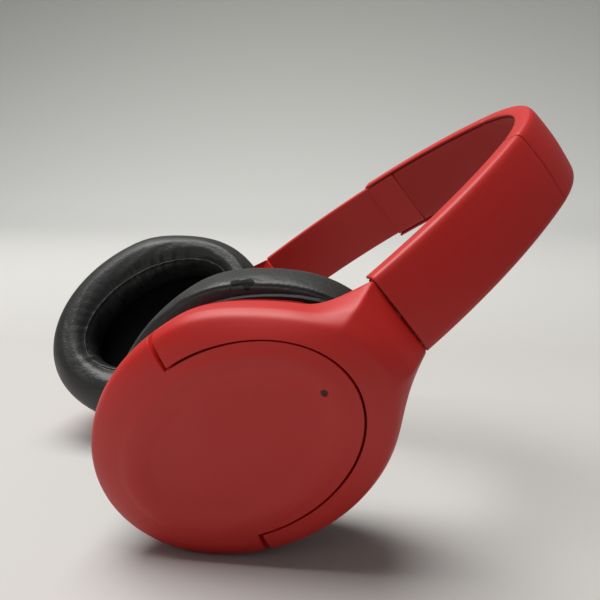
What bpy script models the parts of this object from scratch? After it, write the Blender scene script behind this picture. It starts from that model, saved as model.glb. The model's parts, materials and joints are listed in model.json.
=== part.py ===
"""Over-ear wireless headphones, resting on their ear cups with the headband leaning back.

Each side is modelled as worn: X runs ear to ear with the left ear at +X, -Y is the wearer's front and
Z is up. The empty "headset" then leans the whole assembly back. Millimetres are turned to metres by MM.
"""

from math import asin, atan2, cos, exp, hypot, pi, radians, sin, sqrt, tan

import bmesh
import bpy
from mathutils import Matrix, Quaternion, Vector

MM = 0.001

# How the headset lies: it leans back, and it rolls a little because one side is drawn out further.
LEAN_BACK = radians(52.8)
SIDE_ROLL = radians(9.3)

# Headband: two leg arcs that meet a smaller crown arc, measured on the outer surface.
BAND_HALF_WIDTH = 75.0
WIDEST_HEIGHT = 9.6
LEG_RADIUS = 125.0
CROWN_HEIGHT = 117.0
BAND_WIDTH = 24.6
COVER_WALL = 0.8
COVER_CROWNING = 0.5
COVER_EDGE = 1.6
LINING_THICKNESS = 1.0
SEAM_HEIGHT = 57.0
SIDE_COVER_LENGTH = 65.0
END_PLATE_LENGTH = 14.0
SEAM_GAP = 0.4
FIT_GAP = 0.3
STRIP_WIDTH = 14.0
STRIP_THICKNESS = 0.6

# Sliders: a curved stem in each leg, and how far the right one is drawn out. The covers are as deep as
# the stem and the lining need.
SLIDER_TRAVEL = 56.0
STEM_KEPT_IN = 6.0
STEM_LENGTH = SLIDER_TRAVEL + STEM_KEPT_IN
STEM_THICKNESS = 3.3
STEM_TO_LINING = 0.5
COVER_DEPTH = COVER_WALL + FIT_GAP + STEM_THICKNESS + STEM_TO_LINING + LINING_THICKNESS
RIGHT_EXTENSION = 56.0
SWIVEL_PIN_RADIUS = 1.1
SWIVEL_PIN_LENGTH = 8.0
PIN_GAP = 0.15

# Ear cups: half sizes of the oval outline, its centre and how the cup faces.
CUP_HALF_HEIGHT = 45.5
CUP_HALF_WIDTH = 35.0
CUP_CENTRE_X = 73.3
CUP_TOP_Z = 50.2
CUP_CENTRE_Z = CUP_TOP_Z - CUP_HALF_HEIGHT
CUP_LEAN = radians(7.0)
SHOULDER_FLAT = 3.0
SHOULDER_FADE = 9.0
SHOULDER_ANGLE = radians(125.0)
SHOULDER_SPREAD = radians(45.0)
RIGHT_SWIVEL = radians(34.0)
RIGHT_TILT = radians(12.0)
FACE_HEIGHT = 4.5
DISH_HEIGHT = 5.7
DISH_INSET = 15.0
SLIT_INSET = 8.5
SLIT_WIDTH = 0.6
HOUSING_DEPTH = 13.0
HOUSING_WALL = 2.0
CAVITY_INSET = 11.0
BACK_LIP_INSET = 5.0

# Yokes: each runs from its rear tip over the top to its front tip, and rises into a neck.
YOKE_FRONT_TIP = radians(180.0)
YOKE_REAR_TIP = radians(-24.0)
YOKE_THICKNESS = 2.6
YOKE_DEPTH = 7.8
TIP_GAP = radians(2.3)
NECK_SPREAD = radians(38.0)
NECK_FRONT_SPREAD = radians(29.0)
NECK_OVERHANG = 5.8
PIVOT_FROM_TIP = radians(4.0)
PIVOT_DEPTH = 1.0
PIVOT_RADIUS = 1.2
PIVOT_PIN_LENGTH = 6.4
PIVOT_COVER = 1.2

# Inside each cup, from the housing towards the ear.
BAFFLE_THICKNESS = 1.6
DRIVER_RADIUS = 19.2
DRIVER_DEPTH = 4.0
CONE_SET_BACK = 0.6
MAGNET_CLEAR = 1.2
MAGNET_RADIUS = 8.0
MAGNET_DEPTH = 4.8
PAD_RING_THICKNESS = 1.8
PAD_RING_WIDTH = 8.0
PAD_THICKNESS = 20.0
PAD_OUTLINE_INSET = -0.3
PAD_NECK_RELIEF = 3.6
PAD_RELIEF_SPREAD = radians(24.0)
PAD_HOLE_HALF_HEIGHT = 29.0
PAD_HOLE_HALF_WIDTH = 17.5
CLOTH_THICKNESS = 0.6
CONE_THICKNESS = 0.5
BATTERY_SIZE = (4.4, 22.0, 30.0)
BOARD_CLEAR = 0.5
MAIN_BOARD_SIZE = (1.2, 26.0, 40.0)
SOCKET_BOARD_SIZE = (1.2, 20.0, 9.0)
TOUCH_SHEET_SIZE = (0.6, 26.0, 34.0)

# Controls and sockets on the left cup's side wall, given by their angle round the cup.
BUTTON_LENGTH = 11.0
BUTTON_WIDTH = 4.0
BUTTON_TRAVEL = 0.5
BUTTON_PROUD = 0.8
BUTTON_DEPTH = 2.6
POWER_BUTTON_ANGLE = radians(-42.0)
MODE_BUTTON_ANGLE = radians(-62.0)
CHARGE_SOCKET_ANGLE = radians(-84.0)
CHARGE_SOCKET_SIZE = (3.4, 9.4)
JACK_SOCKET_ANGLE = radians(-104.0)
JACK_BORE_RADIUS = 1.8
JACK_SOCKET_RADIUS = 3.2
SOCKET_DEPTH = 5.0
SOCKET_SUNK = 0.2
SOCKET_WALL = 0.45
SOCKET_FLOOR = 0.8
CONTROL_PLANE = -8.6
MIC_HEIGHT = 29.5
MIC_RADIUS = 0.8

TURN_STEPS = 48
ARC_STEP = radians(5.0)

RED = (0.55, 0.035, 0.03)
DARK_RED = (0.36, 0.03, 0.028)
BLACK = (0.02, 0.02, 0.022)
LEATHER = (0.035, 0.038, 0.04)
STEEL = (0.55, 0.55, 0.56)
BOARD_GREEN = (0.03, 0.16, 0.07)

SIDES = {"left": 1, "right": -1}


def clear_scene():
    for obj in list(bpy.data.objects):
        bpy.data.objects.remove(obj, do_unlink=True)


def new_collection(name, hidden=False):
    collection = bpy.data.collections.new(name)
    collection.hide_render = hidden
    bpy.context.scene.collection.children.link(collection)
    return collection


def material(name, colour, roughness, metallic=0.0):
    made = bpy.data.materials.new(name)
    made.use_nodes = True
    shader = made.node_tree.nodes["Principled BSDF"]
    shader.inputs["Base Color"].default_value = (*colour, 1.0)
    shader.inputs["Roughness"].default_value = roughness
    shader.inputs["Metallic"].default_value = metallic
    return made


def finish(bm, name, finish_material, parent=None, location=(0, 0, 0)):
    """Turns a bmesh in millimetres into a named object of the assembly."""
    bmesh.ops.scale(bm, vec=(MM, MM, MM), verts=bm.verts)
    bmesh.ops.remove_doubles(bm, verts=bm.verts, dist=1e-6)
    bmesh.ops.recalc_face_normals(bm, faces=bm.faces)
    mesh = bpy.data.meshes.new(name)
    bm.to_mesh(mesh)
    bm.free()
    mesh.shade_smooth()
    mesh.set_sharp_from_angle(angle=radians(35))
    obj = bpy.data.objects.new(name, mesh)
    if finish_material:
        mesh.materials.append(finish_material)
    obj.parent = parent
    obj.location = Vector(location) * MM
    return obj


def cut(target, cutter):
    """Cuts one object with another that has the same parent and location."""
    cutters.objects.link(cutter)
    cutter.parent = target.parent
    cutter.location = target.location
    cutter.hide_render = True
    cutter.display_type = "WIRE"
    boolean = target.modifiers.new("cut_" + cutter.name, "BOOLEAN")
    boolean.operation = "DIFFERENCE"
    boolean.object = cutter


def empty(name, parent=None, location=(0, 0, 0)):
    made = bpy.data.objects.new(name, None)
    parts.objects.link(made)
    made.parent = parent
    made.location = Vector(location) * MM
    return made


# ---------------------------------------------------------------- headband

LEG_CENTRE_X = BAND_HALF_WIDTH - LEG_RADIUS
# The leg arc and the crown arc share a tangent where the height of the crown comes out right.
CROWN_DROP = (WIDEST_HEIGHT + LEG_RADIUS - CROWN_HEIGHT) / -LEG_CENTRE_X
JOIN_ANGLE = pi / 2 - 2 * atan2(CROWN_DROP, 1.0)
CROWN_RADIUS = LEG_RADIUS + LEG_CENTRE_X / cos(JOIN_ANGLE)
CROWN_CENTRE_Z = WIDEST_HEIGHT - LEG_CENTRE_X * tan(JOIN_ANGLE)
SEAM_ANGLE = asin((SEAM_HEIGHT - WIDEST_HEIGHT) / LEG_RADIUS)
JOIN_LENGTH = (JOIN_ANGLE - SEAM_ANGLE) * LEG_RADIUS
CROWN_LENGTH = JOIN_LENGTH + (pi / 2 - JOIN_ANGLE) * CROWN_RADIUS


def band_point(length, depth):
    """A point in the band's plane, at a length along it from the left seam and a depth under its surface."""
    if length > CROWN_LENGTH:
        x, z = band_point(2 * CROWN_LENGTH - length, depth)
        return -x, z
    if length <= JOIN_LENGTH:
        angle = SEAM_ANGLE + length / LEG_RADIUS
        radius = LEG_RADIUS - depth
        return LEG_CENTRE_X + radius * cos(angle), WIDEST_HEIGHT + radius * sin(angle)
    angle = JOIN_ANGLE + (length - JOIN_LENGTH) / CROWN_RADIUS
    radius = CROWN_RADIUS - depth
    return radius * cos(angle), CROWN_CENTRE_Z + radius * sin(angle)


def band_sweep(section, start, end, step=6.5):
    """Sweeps a closed section of (width, depth) points along the band between two lengths."""
    count = max(2, round(abs(end - start) / step))
    bm = bmesh.new()
    rings = []
    for index in range(count + 1):
        length = start + (end - start) * index / count
        ring = []
        for width, depth in section:
            x, z = band_point(length, depth)
            ring.append(bm.verts.new((x, width, z)))
        rings.append(ring)
    skin(bm, rings, closed_turn=False)
    return bm


def skin(bm, rings, closed_turn):
    """Joins rings of equal length with quads, and caps the first and last ring of an open run."""
    pairs = list(zip(rings, rings[1:]))
    if closed_turn:
        pairs.append((rings[-1], rings[0]))
    for low, high in pairs:
        size = len(low)
        for index in range(size):
            after = (index + 1) % size
            bm.faces.new((low[index], low[after], high[after], high[index]))
    if not closed_turn:
        bm.faces.new(rings[0])
        bm.faces.new(rings[-1])


def cover_section():
    """A shallow crowned channel, open on the side towards the head."""
    half = BAND_WIDTH / 2
    inner = half - COVER_WALL
    outer_side = [
        (half, COVER_DEPTH),
        (half, COVER_EDGE),
        (half - 0.7, COVER_EDGE * 0.4),
        (half - 3.3, 0.0),
        (0.0, -COVER_CROWNING),
    ]
    inner_side = [
        (0.0, COVER_WALL),
        (inner - 1.0, COVER_WALL),
        (inner, COVER_WALL + 1.0),
        (inner, COVER_DEPTH),
    ]
    right = outer_side[:-1]
    left = [(-width, depth) for width, depth in reversed(right)]
    section = right + [outer_side[-1]] + left
    inner_left = [(-width, depth) for width, depth in reversed(inner_side[1:])]
    return section + inner_left + inner_side


def slab_section(width, top, bottom, edge=0.5):
    """A flat bar with its four long edges broken."""
    half = width / 2
    return [
        (half, top + edge),
        (half - edge, top),
        (edge - half, top),
        (-half, top + edge),
        (-half, bottom - edge),
        (edge - half, bottom),
        (half - edge, bottom),
        (half, bottom - edge),
    ]


INSIDE_WIDTH = BAND_WIDTH - 2 * COVER_WALL - 2 * FIT_GAP
LINING_TOP = COVER_DEPTH - LINING_THICKNESS
STEM_TOP = COVER_WALL + FIT_GAP
STEM_BOTTOM = STEM_TOP + STEM_THICKNESS


def make_headband(headset, skins):
    length = 2 * CROWN_LENGTH
    first = SIDE_COVER_LENGTH
    spans = {
        "left_band_cover": (0.0, first - SEAM_GAP / 2),
        "crown_cover": (first + SEAM_GAP / 2, length - first - SEAM_GAP / 2),
        "right_band_cover": (length - first + SEAM_GAP / 2, length),
    }
    for name, (start, end) in spans.items():
        cover = finish(band_sweep(cover_section(), start, end), name, skins["shell"], headset)
        parts.objects.link(cover)
    inside = slab_section(INSIDE_WIDTH, LINING_TOP, COVER_DEPTH, 0.3)
    spans = {
        "left_band_end_plate": (0.0, END_PLATE_LENGTH),
        "headband_lining": (END_PLATE_LENGTH + SEAM_GAP, length - END_PLATE_LENGTH - SEAM_GAP),
        "right_band_end_plate": (length - END_PLATE_LENGTH, length),
    }
    for name, (start, end) in spans.items():
        finish_material = skins["lining"] if name == "headband_lining" else skins["shell"]
        parts.objects.link(finish(band_sweep(inside, start, end), name, finish_material, headset))
    strip = slab_section(STRIP_WIDTH, STEM_TOP, STEM_TOP + STRIP_THICKNESS, 0.1)
    start = STEM_LENGTH + 3.0
    bm = band_sweep(strip, start, length - start)
    parts.objects.link(finish(bm, "spring_strip", skins["steel"], headset))


# ---------------------------------------------------------------- sliders


def seam_frame():
    """The left seam's centre, and the direction up the leg there."""
    x, z = band_point(0.0, (STEM_TOP + STEM_BOTTOM) / 2)
    return Vector((x, 0.0, z)), Vector((-sin(SEAM_ANGLE), 0.0, cos(SEAM_ANGLE)))


def rod(name, radius, start, end, finish_material=None, parent=None, location=(0, 0, 0), sides=12):
    """A round bar between two points in millimetres."""
    start, end = Vector(start), Vector(end)
    along = end - start
    bm = bmesh.new()
    bmesh.ops.create_cone(
        bm, cap_ends=True, segments=sides, radius1=radius, radius2=radius, depth=along.length
    )
    turn = along.to_track_quat("Z", "Y").to_matrix().to_4x4()
    bmesh.ops.transform(bm, matrix=Matrix.Translation((start + end) / 2) @ turn, verts=bm.verts)
    return finish(bm, name, finish_material, parent, location)


def mirrored(point, side):
    return Vector((side * point[0], point[1], point[2]))


def make_stem(side_name, slide_frame, skins):
    side = SIDES[side_name]
    centre = Vector((side * LEG_CENTRE_X, 0.0, WIDEST_HEIGHT))
    section = slab_section(INSIDE_WIDTH - 0.2, STEM_TOP, STEM_BOTTOM, 0.6)
    bm = band_sweep(section, 0.0, STEM_LENGTH)
    bmesh.ops.scale(bm, vec=(side, 1, 1), verts=bm.verts)
    stem = finish(bm, side_name + "_slider_stem", skins["shell"], slide_frame, -centre)
    parts.objects.link(stem)
    seam, up = seam_frame()
    start = mirrored(seam - up * 1.0, side)
    end = mirrored(seam + up * (SWIVEL_PIN_LENGTH / 2 + 0.5), side)
    cut(stem, rod(side_name + "_stem_bore", SWIVEL_PIN_RADIUS + PIN_GAP, start, end))


# ---------------------------------------------------------------- cups and yokes, in the cup's own frame


def oval_of(angle, wide, high):
    """Radius of an oval at an angle from the rear (+Y) up."""
    return 1.0 / sqrt((cos(angle) / wide) ** 2 + (sin(angle) / high) ** 2)


def shoulder(angle):
    """How far the outline is flattened over the cup's front shoulder."""
    turned = (angle - SHOULDER_ANGLE + pi) % (2 * pi) - pi
    if abs(turned) > SHOULDER_SPREAD:
        return 0.0
    return SHOULDER_FLAT * cos(turned / SHOULDER_SPREAD * pi / 2) ** 2


def oval(angle, inset):
    """Radius of the cup's outline, drawn in by an inset. The flat shoulder fades out inwards."""
    whole = oval_of(angle, CUP_HALF_WIDTH - inset, CUP_HALF_HEIGHT - inset)
    return whole - shoulder(angle) * max(0.0, 1.0 - inset / SHOULDER_FADE)


def neck_top():
    """The seam's outer corner in the cup's frame, as (outward, up)."""
    x, z = band_point(0.0, 0.2)
    offset_x, offset_z = x - CUP_CENTRE_X, z - CUP_CENTRE_Z
    outward = offset_x * cos(CUP_LEAN) - offset_z * sin(CUP_LEAN)
    up = offset_x * sin(CUP_LEAN) + offset_z * cos(CUP_LEAN)
    return outward, up


def neck_lift(angle):
    """How far the yoke's outline rises over the oval at an angle, and that as a share of the full rise."""
    outward, top = neck_top()
    top -= SEAM_GAP
    half = BAND_WIDTH / 2 - 0.5
    corner = atan2(top, half)
    from_top = abs(pi / 2 - angle)
    limit = pi / 2 - corner
    if from_top <= limit:
        radius = top / cos(from_top)
        return radius - oval(angle, 0.0), 1.0
    front = angle > pi / 2
    spread = NECK_FRONT_SPREAD if front else NECK_SPREAD
    full = hypot(top, half) - oval(pi / 2 + limit if front else corner, 0.0)
    share = max(0.0, 1.0 - (from_top - limit) / (spread - limit))
    return full * share**3, share**2


def yoke_section(angle):
    """The yoke's closed section at an angle, as (outward, radius) points with the outer surface first.

    The arm follows the housing's rim; where the neck rises, "share" draws its back edge out to the seam.
    """
    lift, share = neck_lift(angle)
    neck_out, _ = neck_top()
    thick = YOKE_THICKNESS
    reach = neck_out + YOKE_DEPTH
    lean = CUP_LEAN + SEAM_ANGLE
    drop_out = NECK_OVERHANG * cos(lean) - thick
    drop_up = NECK_OVERHANG * sin(lean)
    slit = SLIT_INSET - SLIT_WIDTH / 2
    outer = [
        (FACE_HEIGHT, oval(angle, slit)),
        (3.7, oval(angle, 6.0)),
        (2.5, oval(angle, 3.4)),
        (1.0, oval(angle, 1.2) + 0.1 * lift),
        (-1.0 - 0.6 * share, oval(angle, 0.2) + 0.3 * lift),
        (-3.0 - 2.4 * share, oval(angle, 0.0) + 0.6 * lift),
        (-YOKE_DEPTH + reach * share, oval(angle, 0.7 * (1 - share)) + lift),
    ]
    back = -YOKE_DEPTH + (reach - drop_out) * share
    middle = -YOKE_DEPTH + (reach - drop_out) * 0.5 * share + 0.8
    inner = [
        (back, oval(angle, thick * (1 - share)) + lift - drop_up * share),
        (middle, oval(angle, thick) + 0.45 * lift),
        (-3.0, oval(angle, thick) + 0.1 * lift),
        (-0.4, oval(angle, thick + 1.0)),
        (FACE_HEIGHT - thick - 0.6, oval(angle, thick + 3.6)),
        (FACE_HEIGHT - thick, oval(angle, slit)),
    ]
    return outer + inner


def cup_point(side, angle, outward, radius):
    return (side * outward, radius * cos(angle), radius * sin(angle))


def turned_loft(side, section_at, angles, closed_turn):
    """Lofts a closed section round the cup's axis."""
    bm = bmesh.new()
    rings = []
    for angle in angles:
        ring = [bm.verts.new(cup_point(side, angle, *point)) for point in section_at(angle)]
        rings.append(ring)
    skin(bm, rings, closed_turn)
    return bm


def full_turn(steps=TURN_STEPS):
    return [2 * pi * index / steps for index in range(steps)]


def make_yoke(side_name, frame, skins):
    side = SIDES[side_name]
    count = round((YOKE_FRONT_TIP - YOKE_REAR_TIP) / ARC_STEP)
    span = YOKE_FRONT_TIP - YOKE_REAR_TIP
    angles = [YOKE_REAR_TIP + span * index / count for index in range(count + 1)]
    bm = turned_loft(side, yoke_section, angles, closed_turn=False)
    yoke = finish(bm, side_name + "_yoke", skins["shell"], frame)
    parts.objects.link(yoke)
    for end, (point, outward) in pivots_of(side).items():
        start = point - outward * (PIVOT_COVER + PIVOT_PIN_LENGTH)
        stop = point - outward * (PIVOT_COVER - FIT_GAP)
        cut(yoke, rod(f"{side_name}_{end}_yoke_bore", PIVOT_RADIUS + PIN_GAP, start, stop))
    seam, up = seam_in_cup()
    start = mirrored(seam - up * (SWIVEL_PIN_LENGTH / 2 + 0.5), side)
    stop = mirrored(seam + up * 2.0, side)
    cut(yoke, rod(side_name + "_neck_bore", SWIVEL_PIN_RADIUS + PIN_GAP, start, stop))
    start = mirrored(seam - up * SWIVEL_PIN_LENGTH / 2, side)
    end = mirrored(seam + up * SWIVEL_PIN_LENGTH / 2, side)
    pin = rod(side_name + "_swivel_pin", SWIVEL_PIN_RADIUS, start, end, skins["steel"], frame)
    parts.objects.link(pin)


def seam_in_cup():
    """The left seam's centre and the direction up the leg, in the cup's frame."""
    seam, up = seam_frame()
    turn = Matrix.Rotation(-CUP_LEAN, 3, "Y")
    return turn @ (seam - Vector((CUP_CENTRE_X, 0.0, CUP_CENTRE_Z))), turn @ up


def pivots_of(side):
    """Where the tilt axis meets the oval near each tip of the yoke, and its direction out of the cup."""
    angles = {"rear": YOKE_REAR_TIP + PIVOT_FROM_TIP, "front": YOKE_FRONT_TIP - PIVOT_FROM_TIP}
    points = {}
    for end, angle in angles.items():
        points[end] = Vector(cup_point(side, angle, -PIVOT_DEPTH, oval(angle, 0.0)))
    rearward = (points["rear"] - points["front"]).normalized()
    return {"rear": (points["rear"], rearward), "front": (points["front"], -rearward)}


def in_yoke(angle):
    """Whether an angle lies where the yoke covers the housing."""
    angle = (angle - YOKE_REAR_TIP + TIP_GAP) % (2 * pi)
    return angle < YOKE_FRONT_TIP - YOKE_REAR_TIP + 2 * TIP_GAP


def housing_section(angle):
    """The housing's profile from its outer centre over the rim to the bottom of its cavity."""
    slit = SLIT_INSET + SLIT_WIDTH / 2
    face = [
        (FACE_HEIGHT - 0.1, oval(angle, 26.0)),
        (FACE_HEIGHT + 0.1, oval(angle, 19.5)),
        (DISH_HEIGHT - 0.7, oval(angle, DISH_INSET + 1.8)),
        (DISH_HEIGHT, oval(angle, DISH_INSET)),
        (DISH_HEIGHT - 0.1, oval(angle, DISH_INSET - 2.0)),
        (FACE_HEIGHT + 0.4, oval(angle, slit + 1.5)),
        (FACE_HEIGHT, oval(angle, slit)),
    ]
    # The back lip gives way wherever the yoke's neck reaches over it.
    share = min(1.0, 8.0 * neck_lift(angle)[1])
    if in_yoke(angle):
        rim = [
            (FACE_HEIGHT - YOKE_THICKNESS - 0.5, oval(angle, slit + 0.2)),
            (FACE_HEIGHT - YOKE_THICKNESS - 1.1, oval(angle, YOKE_THICKNESS + 4.2)),
            (-0.9, oval(angle, YOKE_THICKNESS + 1.8)),
            (-3.0, oval(angle, YOKE_THICKNESS + 0.7)),
            (-YOKE_DEPTH - 0.5, oval(angle, YOKE_THICKNESS + 0.6)),
            (-YOKE_DEPTH - 0.8, oval(angle, 0.8 + 3.0 * share)),
        ]
    else:
        rim = [
            (3.7, oval(angle, 6.0)),
            (2.5, oval(angle, 3.4)),
            (1.0, oval(angle, 1.2)),
            (-1.0, oval(angle, 0.2)),
            (-3.0, oval(angle, 0.0)),
            (-YOKE_DEPTH - 0.8, oval(angle, 0.8)),
        ]
    back = [
        (2.4 - HOUSING_DEPTH, oval(angle, 2.4 + 1.6 * share)),
        (-HOUSING_DEPTH, oval(angle, BACK_LIP_INSET)),
        (-HOUSING_DEPTH, oval(angle, BACK_LIP_INSET + HOUSING_WALL + 0.5)),
        (-0.2, oval(angle, CAVITY_INSET)),
        (FACE_HEIGHT - HOUSING_WALL, oval(angle, CAVITY_INSET + 2.0)),
        (FACE_HEIGHT - HOUSING_WALL, oval(angle, 26.0)),
    ]
    return face + rim + back


def housing_angles():
    """Even steps round the cup, with a close pair at each end of the yoke's recess."""
    edges = []
    for edge in (YOKE_REAR_TIP - TIP_GAP, YOKE_FRONT_TIP + TIP_GAP):
        edges += [(edge - 0.004) % (2 * pi), (edge + 0.004) % (2 * pi)]
    kept = [angle for angle in full_turn() if all(abs(angle - edge) > 0.03 for edge in edges)]
    return sorted(kept + edges)


def make_housing(side_name, frame, pivot, skins):
    side = SIDES[side_name]
    bm = bmesh.new()
    rings = []
    for angle in housing_angles():
        section = housing_section(angle)
        rings.append([bm.verts.new(cup_point(side, angle, *point)) for point in section])
    for ring, after in zip(rings, rings[1:] + rings[:1]):
        for index in range(len(ring) - 1):
            bm.faces.new((ring[index], ring[index + 1], after[index + 1], after[index]))
    bm.faces.new([ring[0] for ring in rings])
    bm.faces.new([ring[-1] for ring in rings])
    housing = finish(bm, side_name + "_housing", skins["shell"], frame, -pivot)
    parts.objects.link(housing)
    start = (side * (DISH_HEIGHT + 1.0), 0.0, MIC_HEIGHT)
    stop = (side * (DISH_HEIGHT - 1.9), 0.0, MIC_HEIGHT)
    cut(housing, rod(side_name + "_mic_bore", MIC_RADIUS + FIT_GAP, start, stop))
    start = (side * (DISH_HEIGHT - 0.4), 0.0, MIC_HEIGHT)
    stop = (side * (DISH_HEIGHT - 1.6), 0.0, MIC_HEIGHT)
    port = rod(side_name + "_microphone", MIC_RADIUS, start, stop, skins["black"], frame, -pivot, 12)
    parts.objects.link(port)
    for end, (point, outward) in pivots_of(side).items():
        stop = point - outward * PIVOT_COVER
        start = stop - outward * PIVOT_PIN_LENGTH
        deep = start - outward * FIT_GAP
        cut(housing, rod(f"{side_name}_{end}_housing_bore", PIVOT_RADIUS + PIN_GAP, deep, point))
        name = f"{side_name}_{end}_pivot_pin"
        parts.objects.link(rod(name, PIVOT_RADIUS, start, stop, skins["steel"], frame, -pivot))
    return housing


def ring_piece(name, side, top, bottom, outer, inner, finish_material, frame, pivot):
    """A flat ring between two depths, with its outer and inner radius given as functions of the angle."""

    def section(angle):
        return [(top, outer(angle)), (bottom, outer(angle)), (bottom, inner(angle)), (top, inner(angle))]

    bm = turned_loft(side, section, full_turn(), closed_turn=True)
    obj = finish(bm, name, finish_material, frame, -pivot)
    parts.objects.link(obj)
    return obj


def disc_piece(name, side, top, bottom, wide, high, finish_material, frame, pivot, steps=32):
    """A flat oval plate between two depths."""
    bm = bmesh.new()
    rings = []
    for depth in (top, bottom):
        points = [cup_point(side, a, depth, oval_of(a, wide, high)) for a in full_turn(steps)]
        rings.append([bm.verts.new(point) for point in points])
    skin(bm, rings, closed_turn=False)
    obj = finish(bm, name, finish_material, frame, -pivot)
    parts.objects.link(obj)
    return obj


def pad_section(angle):
    """The ear pad's rounded section, with a narrow flat band where it meets the head."""
    top = PAD_TOP
    bottom = PAD_TOP - PAD_THICKNESS
    # The pad is drawn in under the neck, so that it passes below the band's end as the cup swivels.
    relief = PAD_NECK_RELIEF * exp(-(((angle - pi / 2) / PAD_RELIEF_SPREAD) ** 2))
    outer = oval(angle, PAD_OUTLINE_INSET) - relief
    inner = oval_of(angle, PAD_HOLE_HALF_WIDTH, PAD_HOLE_HALF_HEIGHT)
    width = outer - inner
    return [
        (top, outer - 3.5),
        (top - 2.5, outer - 0.8),
        (top - 7.0, outer),
        (top - 12.5, outer - 0.6),
        (bottom + 3.2, outer - 3.0),
        (bottom + 0.7, outer - 0.36 * width),
        (bottom, outer - 0.48 * width),
        (bottom, outer - 0.62 * width),
        (bottom + 1.2, outer - 0.76 * width),
        (bottom + 4.5, outer - 0.93 * width),
        (top - 11.0, inner),
        (top - 3.0, inner + 0.4),
        (top, inner + 1.8),
    ]


BAFFLE_TOP = -HOUSING_DEPTH - FIT_GAP
RING_TOP = BAFFLE_TOP - BAFFLE_THICKNESS - FIT_GAP
PAD_TOP = RING_TOP - PAD_RING_THICKNESS - FIT_GAP
MAGNET_TOP = BAFFLE_TOP - CONE_SET_BACK + MAGNET_CLEAR + MAGNET_DEPTH


def make_acoustics(side_name, frame, pivot, skins):
    side = SIDES[side_name]
    bore = DRIVER_RADIUS + FIT_GAP
    where = (frame, pivot)
    ring_piece(
        side_name + "_baffle",
        side,
        BAFFLE_TOP,
        BAFFLE_TOP - BAFFLE_THICKNESS,
        lambda angle: oval(angle, BACK_LIP_INSET),
        lambda angle: bore,
        skins["black"],
        *where,
    )
    ring_piece(
        side_name + "_pad_ring",
        side,
        RING_TOP,
        RING_TOP - PAD_RING_THICKNESS,
        lambda angle: oval(angle, BACK_LIP_INSET - 1.5),
        lambda angle: oval(angle, BACK_LIP_INSET - 1.5 + PAD_RING_WIDTH),
        skins["black"],
        *where,
    )
    bm = turned_loft(side, pad_section, full_turn(), closed_turn=True)
    parts.objects.link(finish(bm, side_name + "_ear_pad", skins["leather"], frame, -pivot))
    cloth_top = RING_TOP - 0.8
    disc_piece(
        side_name + "_speaker_cloth",
        side,
        cloth_top,
        cloth_top - CLOTH_THICKNESS,
        CUP_HALF_WIDTH - BACK_LIP_INSET + 1.5 - PAD_RING_WIDTH - FIT_GAP,
        CUP_HALF_HEIGHT - BACK_LIP_INSET + 1.5 - PAD_RING_WIDTH - FIT_GAP,
        skins["cloth"],
        *where,
    )
    frame_top = BAFFLE_TOP + DRIVER_DEPTH - BAFFLE_THICKNESS
    ring_piece(
        side_name + "_driver_frame",
        side,
        frame_top,
        BAFFLE_TOP - BAFFLE_THICKNESS,
        lambda angle: DRIVER_RADIUS,
        lambda angle: DRIVER_RADIUS - 2.0,
        skins["black"],
        *where,
    )
    cone_radius = DRIVER_RADIUS - 2.0 - FIT_GAP
    cone_top = BAFFLE_TOP - CONE_SET_BACK
    disc_piece(
        side_name + "_driver_cone",
        side,
        cone_top,
        cone_top - CONE_THICKNESS,
        cone_radius,
        cone_radius,
        skins["cone"],
        *where,
    )
    disc_piece(
        side_name + "_driver_magnet",
        side,
        MAGNET_TOP,
        MAGNET_TOP - MAGNET_DEPTH,
        MAGNET_RADIUS,
        MAGNET_RADIUS,
        skins["steel"],
        *where,
        24,
    )


def box_piece(name, size, centre, finish_material, frame, pivot, bevel=0.5, turn=None):
    """A box with broken edges, in the cup's frame."""
    bm = bmesh.new()
    bmesh.ops.create_cube(bm, size=1.0)
    bmesh.ops.scale(bm, vec=size, verts=bm.verts)
    if bevel:
        bmesh.ops.bevel(bm, geom=bm.edges[:], offset=bevel, segments=2, affect="EDGES", profile=0.5)
    if turn is not None:
        bmesh.ops.transform(bm, matrix=turn, verts=bm.verts)
    bmesh.ops.translate(bm, vec=centre, verts=bm.verts)
    return finish(bm, name, finish_material, frame, -pivot)


def make_electronics(frames, pivots, skins):
    """The battery and socket board in the left cup, the main board and touch sheet in the right one."""
    behind = MAGNET_TOP + BOARD_CLEAR
    sheet_centre = FACE_HEIGHT - HOUSING_WALL - FIT_GAP - TOUCH_SHEET_SIZE[0] / 2
    pieces = [
        ("battery", "left", BATTERY_SIZE, behind + BATTERY_SIZE[0] / 2, 2.0, "battery", 0.5),
        ("socket_board", "left", SOCKET_BOARD_SIZE, behind + SOCKET_BOARD_SIZE[0] / 2, -22.0, "board", 0.2),
        ("main_board", "right", MAIN_BOARD_SIZE, behind + MAIN_BOARD_SIZE[0] / 2, 0.0, "board", 0.2),
        ("touch_sensor", "right", TOUCH_SHEET_SIZE, sheet_centre, 0.0, "copper", 0.1),
    ]
    for name, side_name, size, outward, height, skin_name, bevel in pieces:
        centre = (SIDES[side_name] * outward, 0.0, height)
        pivot = pivots[side_name]
        piece = box_piece(name, size, centre, skins[skin_name], frames[side_name], pivot, bevel)
        parts.objects.link(piece)


def wall_frame(angle):
    """The side wall's outward direction and a point on the wall at the controls' depth."""
    radius = oval(angle, 0.75)
    point = Vector((CONTROL_PLANE, radius * cos(angle), radius * sin(angle)))
    outward = Vector((0.0, cos(angle) / CUP_HALF_WIDTH**2, sin(angle) / CUP_HALF_HEIGHT**2))
    return point, outward.normalized()


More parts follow.
